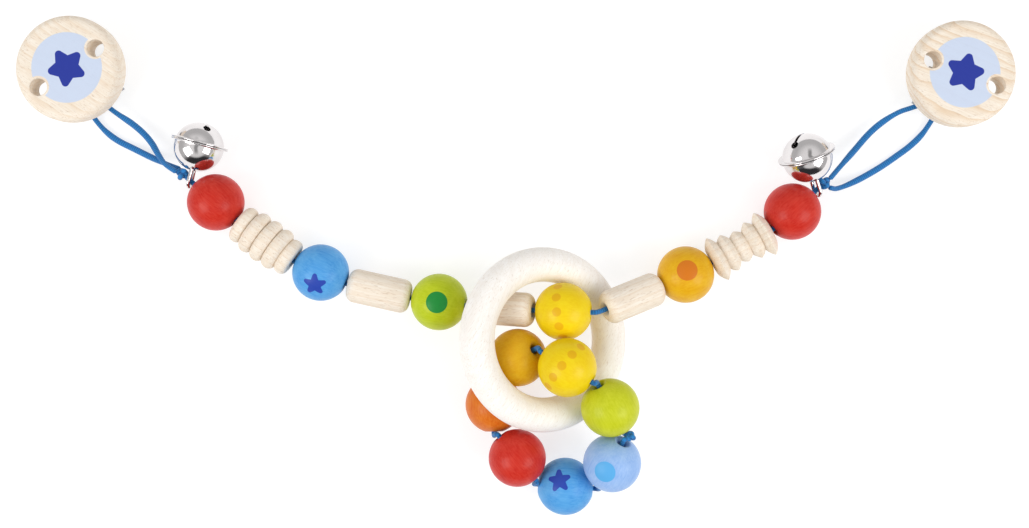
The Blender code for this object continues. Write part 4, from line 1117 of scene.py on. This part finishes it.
def tie_knot(node, stand, size, form):
    """A knot of elastic about a frame's X, of a strand that is squeezed thinner."""
    radius = bpy.context.scene.chain_elastic.diameter / 2 * form["squeeze"]
    path = placed(knotted(size, form["flat"]), stand)
    add_elastic(node, tube(path, radius, stand[1][0], closed=True))


class MakeLoops(bpy.types.Operator):
    """Lays the loop of elastic at each end, from its knot round the strap bar and back"""
    bl_idname = "pram_chain.make_loops"
    bl_label = "Make Loops"

    def execute(self, context):
        elastic = context.scene.chain_elastic
        for side, route in LOOP_ROUTES.items():
            path = placed(smooth_route(np.array(route) * MM, CORD_STEP), clip_frame(side))
            piece = add_elastic(f"{side}_loop", tube(path, self.radii(path, side, elastic), UP))
        return {"FINISHED"}

    def radii(self, path, side, elastic):
        """The strap bar and the knot squeeze the elastic: t is 0 where they hold it and goes to
        1 over the lengths in which it swells, whichever of the two is less, and the radius
        goes from the held one to the loose one as 3t^2 - 2t^3."""
        origin, (x, _, _) = clip_frame(side)
        ends = np.linalg.norm(path[:, None] - path[[0, -1]], axis=2).min(axis=1)
        t = np.minimum(((path - origin) @ x - HELD_AT_BAR) / SWELL_AT_BAR,
                       (ends - HELD_AT_KNOT) / SWELL_AT_KNOT).clip(0.0, 1.0)
        held, loose = elastic.diameter / 2, elastic.loose_diameter / 2
        return held + (loose - held) * t ** 2 * (3 - 2 * t)


class MakeChainElastic(bpy.types.Operator):
    """Draws the elastic through the chain's beads, one stretch to a link"""
    bl_idname = "pram_chain.make_chain_elastic"
    bl_label = "Make Chain Elastic"

    def execute(self, context):
        middle, along = joint_place("centre_ball_spin"), joint_along("centre_ball_spin")
        start, end = joint_place("left_link_1_bend"), joint_place("right_link_1_bend")
        mouth = middle + along * ball_half()
        arriving = joint_along("right_cylinder_spin")
        draw_elastic("centre_elastic",
                     np.vstack((start, middle, bend(mouth, along, end, arriving))))
        for side, count in LINKS.items():
            stops = [joint_place(f"{side}_link_{n}_bend") for n in range(1, count + 1)]
            stops.append(joint_place(f"{side}_loop_bend"))
            for number, pair in enumerate(zip(stops, stops[1:]), start=1):
                draw_elastic(f"{side}_elastic_{number}", np.array(pair))
        return {"FINISHED"}


def rattle_path():
    """The elastic's line through the rattle's balls, from the knot round to it again."""
    knot = box_middle("rattle_knot")
    half = ball_half() + RATTLE_LEAD
    middles = [joint_place(f"{node}_spin") for node in RATTLE_ORDER]
    bores = [joint_along(f"{node}_spin") for node in RATTLE_ORDER]
    first, last = middles[0] - bores[0] * half, middles[-1] + bores[-1] * half
    parts = [bend(knot, unit(first - knot), first, bores[0])]
    for i, (middle, bore) in enumerate(zip(middles, bores)):
        leaving = middle + bore * half
        if i + 1 < len(middles):
            arriving = middles[i + 1] - bores[i + 1] * half
            parts.append(bend(leaving, bore, arriving, bores[i + 1]))
        else:
            parts.append(bend(last, bore, knot, unit(knot - last)))
    return knot, np.vstack(parts), unit(first - knot), unit(last - knot)


class MakeRattleElastic(bpy.types.Operator):
    """Draws the rattle's closed loop of elastic and ties its knot"""
    bl_idname = "pram_chain.make_rattle_elastic"
    bl_label = "Make Rattle Elastic"

    def execute(self, context):
        knot, path, first, last = rattle_path()
        draw_elastic("rattle_elastic", path)
        leaning = UP + RATTLE_KNOT["lean"] * unit(first + last)
        tie_knot("rattle_knot", frame_along(knot, leaning, unit(first - last)),
                 context.scene.chain_elastic.rattle_knot, RATTLE_KNOT)
        return {"FINISHED"}


class MakeEndKnots(bpy.types.Operator):
    """Ties the knot between the chain and each end loop"""
    bl_idname = "pram_chain.make_end_knots"
    bl_label = "Make End Knots"

    def execute(self, context):
        for side, bead in LAST_BEAD.items():
            node, along = f"{side}_knot", joint_along(f"{bead}_spin")
            stand = frame_along(box_middle(node), UP + END_KNOT["lean"] * along, along)
            tie_knot(node, turned_frame(stand, END_KNOT_TURN),
                     context.scene.chain_elastic.end_knot, END_KNOT)
        return {"FINISHED"}


# Bells

def bell_frame(side):
    """Frame in a bell's middle: X through its slotted dome, and its eye in the XZ plane."""
    bells = bpy.context.scene.chain_bells
    turn, climb, _ = BELLS[side]
    x = heading(turn, climb)
    middle = joint_place(f"{side}_bell_swing") + x * (bells.diameter / 2 + bells.eye_standoff)
    station = joint_along(f"{LAST_BEAD[side]}_spin")
    y = unit(station - x * (station @ x))
    return middle, np.array((x, y, np.cross(x, y)))


def shell_profile(seam):
    """Half a bell, from near its top round the inside to the flange and back outside: an
    inner arc, a square flange and an outer arc, with their corners worn round. The seam is
    how far the half stops short of the bell's middle, or passes it where that is negative."""
    bells = bpy.context.scene.chain_bells
    outer, inner = bells.diameter / 2, bells.diameter / 2 - bells.wall
    start = seam + bells.gap / 2
    top = start + bells.flange_thickness
    low, least = np.degrees(np.arcsin(top / outer)), np.degrees(np.arcsin(start / inner))
    inside = arc((0.0, 0.0), inner, SHELL_OPENING, 90.0 - least, SHELL_STEPS[0])
    rim = np.array(((start, bells.flange / 2), (top, bells.flange / 2)))
    outside = arc((0.0, 0.0), outer, 90.0 - low, SHELL_OPENING, SHELL_STEPS[1])
    edge = even_steps(np.vstack((inside[-1:], rim, outside[:1])), SHELL_EDGE_STEP)
    profile = np.vstack((inside, edge[1:-1], outside))
    reach = SHELL_WEAR_REACH
    weights = np.exp(-(np.arange(-reach, reach + 1) / SHELL_WEAR_WIDTH) ** 2)
    padded = np.pad(profile, ((reach, reach), (0, 0)), mode="edge")
    blurred = np.stack([np.convolve(column, weights / weights.sum(), "valid")
                        for column in padded.T], axis=1)
    near = (np.abs(np.arange(len(profile)) - len(inside) - len(edge) / 2)
            < len(edge) / 2 + SHELL_WEAR_MARGIN)[:, None]
    return np.where(near, blurred, profile)


def eye_path(stand):
    """The bell's wire: two legs through the lower shell with their ends bent apart, and half
    a circle between them."""
    bells = bpy.context.scene.chain_bells
    eye = -(bells.diameter / 2 + bells.eye_standoff)
    inside = -(bells.diameter / 2 - bells.wall) + bells.eye_wire
    bow = arc((eye, 0.0), bells.eye_bend, 90.0, 270.0, WIRE_BEND_STEPS)
    leg = np.array(((inside + CLINCH, bells.eye_bend + CLINCH), (inside, bells.eye_bend)))
    flat = np.vstack((leg, bow, leg[::-1] * (1, -1)))
    return placed(smooth_route(np.insert(flat, 1, 0.0, axis=1), WIRE_STEP), stand)


class MakeBells(bpy.types.Operator):
    """Presses the jingle bells: slotted shell, eye shell, wire eye and clapper"""
    bl_idname = "pram_chain.make_bells"
    bl_label = "Make Bells"

    def execute(self, context):
        bells = context.scene.chain_bells
        reach = bells.diameter / 2 + CUTTER_REACH
        for side in BELLS:
            stand = bell_frame(side)
            nickel = metal_material(f"{side}_nickel", stand, bells.nickel, NICKEL_ROUGH, NICKEL)
            upper = self.slotted_shell(bells, turned_frame(stand, BELLS[side][2]), reach)
            add_piece(f"{side}_bell_slotted_shell", upper, nickel)
            lower = self.eye_shell(bells, stand, reach)
            add_piece(f"{side}_bell_eye_shell", lower, nickel)
            wire = tube(eye_path(stand), bells.eye_wire / 2, stand[1][1])
            add_piece(f"{side}_bell_eye", wire, nickel)
            self.clapper(side, bells)
        return {"FINISHED"}

    def eye_shell(self, bells, stand, reach):
        """The lower shell, with a hole for each leg of the wire eye."""
        origin, axes = stand
        upside_down = origin, axes * np.array(((-1,), (-1,), (1,)))
        shell = turned(shell_profile(-bells.seam), upside_down, closed=False)
        holes = [drill(bells.eye_wire / 2 + LEG_CLEARANCE, -reach, -reach + CUTTER_DEPTH,
                       (origin + axes[2] * bells.eye_bend * sign, axes)) for sign in (1, -1)]
        return carved(shell, holes)

    def slotted_shell(self, bells, stand, reach):
        """The upper shell, with a slit over its top and a hole at each end of it."""
        angle = bells.slit_reach
        low, wide = bells.diameter / 2 * np.cos(angle), bells.diameter / 2 * np.sin(angle)
        origin, (x, y, z) = stand
        cutters = [boxed((low, -bells.slit / 2, -wide), (reach, bells.slit / 2, wide), stand)]
        for sign in (1, -1):
            outward = x * np.cos(angle) + z * np.sin(angle) * sign
            cutters.append(drill(bells.slit_hole / 2, bells.diameter / 2 - CUTTER_DEPTH, reach,
                                 frame_along(origin, outward, y)))
        return carved(turned(shell_profile(bells.seam), stand, closed=False), cutters)

    def clapper(self, side, bells):
        node = f"{side}_bell_clapper"
        stand = frame_along(box_middle(node), (1.0, 0.0, 0.0))
        steel = metal_material(f"{side}_clapper_steel", stand, bells.steel,
                               CLAPPER_STEEL_ROUGH, CLAPPER_STEEL)
        profile = arc((0.0, 0.0), bells.clapper / 2, 176.0, 4.0, CLAPPER_STEPS)
        ball = turned(profile, stand, CLAPPER_SIDES, closed=False)
        add_piece(node, ball, steel)


# Clips

def disc_profile():
    """From the disc's underside up: a flat, two quarter circles at its edge and a flat."""
    discs = bpy.context.scene.chain_discs
    flat = discs.diameter / 2 - discs.edge
    low, high = discs.edge, discs.thickness - discs.edge
    return np.vstack(((0.0, DISC_CAP), (0.0, flat / 2),
                      arc((low, flat), discs.edge, 180.0, 90.0, DISC_EDGE_STEPS),
                      arc((high, flat), discs.edge, 90.0, 0.0, DISC_EDGE_STEPS),
                      (discs.thickness, flat / 2), (discs.thickness, DISC_CAP)))


def vent_cutter(stand):
    """A cutter for a vent hole that flares at both faces: at a depth d its radius is the
    hole's plus e - sqrt(e^2 - (e - d)^2), where e is the radius of the hole's edge."""
    discs = bpy.context.scene.chain_discs
    e, radius = discs.vent_edge, discs.vent / 2
    depth = np.linspace(0.0, e, VENT_EDGE_STEPS)
    flare = radius + e - np.sqrt(np.maximum(0.0, e ** 2 - (e - depth) ** 2))
    below = np.stack((depth, flare), axis=1)
    profile = np.vstack(((-CUTTER_REACH, radius + e), below,
                         (discs.thickness, 0.0) + below[::-1] * (-1, 1),
                         (discs.thickness + CUTTER_REACH, radius + e)))
    return turned(profile, stand, VENT_SIDES, closed=False)


class MakeDiscs(bpy.types.Operator):
    """Turns the clips' wooden discs, drills their vents and prints them"""
    bl_idname = "pram_chain.make_discs"
    bl_label = "Make Discs"

    def execute(self, context):
        discs, paint = context.scene.chain_discs, context.scene.chain_paint
        for side in CLIP_HEADINGS:
            origin, (x, y, z) = clip_frame(side)
            middle = origin - x * BAR_FROM_MIDDLE + z * DISC_LOW
            upright = np.array((z, y, -x))
            mesh = turned(disc_profile(), (middle, upright), DISC_SIDES, closed=False)
            cutters = [vent_cutter((middle + y * VENT_SPACING / 2 * sign, upright))
                       for sign in (1, -1)]
            cutters.append(drill(RIVET_HOLE, -CUTTER_REACH, RIVET_HOLE_DEPTH, (middle, upright)))
            fibres = frame_along(middle, heading(DISC_FIBRES[side]))
            material, wires, inputs, tint = wood_material(
                f"{side}_disc_wood", fibres, wood_tints(), DISC_PITH, DISC_GRAIN[side])
            core = (middle + z * discs.thickness / 2, np.array((x, y, z)))
            tint = self.printed(wires, tint, core, side, discs, paint)
            wires.feed(inputs["Base Color"], tint)
            add_piece(f"{side}_clip_disc", carved(mesh, cutters), material)
        return {"FINISHED"}

    def printed(self, wires, tint, core, side, discs, paint):
        """The tint under a pale round print with a star in its middle, and bare wood round
        the vents. The core is a frame in the disc's middle, so its underside has no print."""
        point = wires.place(core)
        pale = wires.mask("Round print", point, DISC_BLUR, {"Radius": discs.print_radius})
        x, y, z = wires.parts(point)
        beside = wires.join(x, wires.less(wires.maths("ABSOLUTE", y), VENT_SPACING / 2), z)
        bare = wires.mask("Round print", beside, DISC_BLUR,
                          {"Radius": discs.vent / 2 + discs.print_margin})
        pale = wires.times(pale, wires.less(1.0, bare))
        star_place = wires.place(facing(core[0], heading(DISC_STARS[side]), UP))
        star = wires.mask("Star print", star_place, DISC_BLUR, {
            "Tip": discs.star_tip, "Waist": discs.star_waist, "Rounding": DISC_STAR_ROUNDING})
        tint = wires.mix(wires.times(pale, DISC_PRINT_COVER), tint, opaque(paint.disc_print))
        return wires.mix(star, tint, opaque(paint.disc_star))


def merged_copy(node):
    """A CAD node's own shape with its points merged and its flat faces whole."""
    shape = bmesh.new()
    shape.from_mesh(frame["nodes"][node].data)
    bmesh.ops.remove_doubles(shape, verts=shape.verts, dist=SAME_POINT)
    bmesh.ops.dissolve_limit(shape, angle_limit=SAME_FACE, verts=shape.verts, edges=shape.edges)
    mesh = bpy.data.meshes.new(node)
    shape.to_mesh(mesh)
    shape.free()
    return shaded(mesh)


class MakeClipFittings(bpy.types.Operator):
    """Finishes the clips' steel plates, levers, pins and rivets, and their jaw pads"""
    bl_idname = "pram_chain.make_clip_fittings"
    bl_label = "Make Clip Fittings"

    def execute(self, context):
        bells = context.scene.chain_bells
        for side in CLIP_HEADINGS:
            stand = clip_frame(side)
            steel = metal_material(f"{side}_clip_steel", stand, bells.steel, CLIP_STEEL_ROUGH,
                                   CLIP_STEEL)
            for part in ("clip_plate", "lever", "lever_pin", "rivet"):
                self.finish(f"{side}_{part}", steel, "steel")
            plastic = self.jaw_plastic(f"{side}_jaw_plastic", stand, bells.jaw)
            self.finish(f"{side}_jaw_pad", plastic, "jaw_plastic")
        return {"FINISHED"}

    def jaw_plastic(self, name, stand, tint):
        """Handled plastic: slow noise makes it slightly darker and duller in places."""
        material, wires, inputs = new_material(name, {"Specular IOR Level": 0.45})
        point = wires.in_millimetres(wires.place(stand))
        grime = wires.noise(wires.stretched(point, GRIME_CELLS), 3.0)
        dirty = opaque(tuple(np.array(tint) * GRIME_SHADE))
        wires.feed(inputs["Base Color"], wires.mix(grime, dirty, opaque(tint)))
        wires.feed(inputs["Roughness"], wires.maths("MULTIPLY_ADD", grime, 0.2, 0.35))
        return material

    def finish(self, node, material, slot):
        """A fitting in its material, with its edges worn round."""
        piece = add_piece(node, merged_copy(node), material)
        rounding = piece.modifiers.new("rounded edges", "BEVEL")
        rounding.width, rounding.segments = WORN_EDGE, 2
        rounding.limit_method, rounding.angle_limit = "ANGLE", SHARP


# Stage

class SetStage(bpy.types.Operator):
    """Sets the camera over the toy, the pale floor and the soft lights"""
    bl_idname = "pram_chain.set_stage"
    bl_label = "Set Stage"

    def execute(self, context):
        stage = context.scene.chain_stage
        camera = bpy.data.cameras.new("camera")
        camera.sensor_width = SENSOR_WIDTH
        camera.lens = camera.sensor_width / 2 / np.tan(stage.view_angle / 2)
        eye = linked("camera", camera)
        eye.location, eye.rotation_euler = CAMERA_PLACE, (0.0, 0.0, CAMERA_ROLL)
        context.scene.camera = eye
        context.scene.view_settings.view_transform = "Standard"
        self.floor(stage)
        self.sky(context, stage)
        for name, place in SOFTBOXES.items():
            lamp = bpy.data.lights.new(name, "AREA")
            lamp.size, lamp.energy = stage.softbox_size, stage.softbox_power
            place = np.array(place)
            _, axes = facing(place, unit(np.cross(UP, place)), unit(place))
            turn = Matrix(axes.T.tolist())
            linked(name, lamp).matrix_world = Matrix.Translation(place) @ turn.to_4x4()
        return {"FINISHED"}

    def floor(self, stage):
        """A flat floor that glows, so that its shadows are faint."""
        half = stage.floor_size / 2
        mesh = bpy.data.meshes.new("floor")
        mesh.from_pydata([(-half, -half, 0.0), (half, -half, 0.0), (half, half, 0.0),
                          (-half, half, 0.0)], [], [(0, 1, 2, 3)])
        floor = linked("floor", mesh)
        material, _, inputs = new_material("pale_floor", {
            "Roughness": 0.9, "Specular IOR Level": 0.0, "Emission Strength": stage.floor_glow})
        inputs["Base Color"].default_value = opaque(stage.floor_colour)
        inputs["Emission Color"].default_value = (1.0, 1.0, 1.0, 1.0)
        mesh.materials.append(material)

    def sky(self, context, stage):
        """Pale light from all round, brighter overhead but for the narrow gap between the
        softboxes, and dark low down behind the photographer."""
        world = bpy.data.worlds.new("studio")
        world.use_nodes = True
        wires = Wires(world.node_tree)
        x, y, height = wires.parts(wires.coordinates("Generated"))
        strip = wires.times(wires.slope(wires.maths("ABSOLUTE", x), 0.20, 0.08),
                            wires.slope(height, 0.70, 0.95))
        behind = wires.times(wires.slope(y, -0.50, -0.80), wires.slope(height, 0.66, 0.50))
        tint = wires.mix(wires.slope(height, 0.35, 0.90), opaque(SKY_LOW), opaque(SKY_HIGH))
        tint = wires.mix(strip, tint, opaque(SKY_STRIP))
        tint = wires.mix(behind, tint, opaque(SKY_BEHIND))
        background = world.node_tree.nodes["Background"]
        wires.feed(background.inputs["Color"], tint)
        background.inputs["Strength"].default_value = stage.sky
        context.scene.world = world


OPERATORS = (SetStage, MakeLoops, MakeBalls, MakeNaturalBeads, MakeRing, MakeChainElastic,
             MakeRattleElastic, MakeEndKnots, MakeBells, MakeDiscs, MakeClipFittings)


class ChainPanel(bpy.types.Panel):
    """Sizes, colours and pieces of the pram chain toy"""
    bl_idname = "VIEW3D_PT_pram_chain"
    bl_label = "Pram Chain Toy"
    bl_space_type = "VIEW_3D"
    bl_region_type = "UI"
    bl_category = "Pram Chain"

    def draw(self, context):
        for key, settings in SETTINGS.items():
            box = self.layout.box()
            box.label(text=key.replace("_", " ").title())
            for name in settings.__annotations__:
                box.prop(getattr(context.scene, key), name)
        for operator in OPERATORS:
            self.layout.operator(operator.bl_idname)


def register():
    for key, settings in SETTINGS.items():
        bpy.utils.register_class(settings)
        setattr(bpy.types.Scene, key, PointerProperty(type=settings))
    for item in (*OPERATORS, ChainPanel):
        bpy.utils.register_class(item)


def unregister():
    for item in (ChainPanel, *reversed(OPERATORS)):
        bpy.utils.unregister_class(item)
    for key, settings in reversed(SETTINGS.items()):
        delattr(bpy.types.Scene, key)
        bpy.utils.unregister_class(settings)


def main():
    register()
    for operator in OPERATORS:
        group, name = operator.bl_idname.split(".")
        getattr(getattr(bpy.ops, group), name)()


if __name__ == "__main__":
    main()
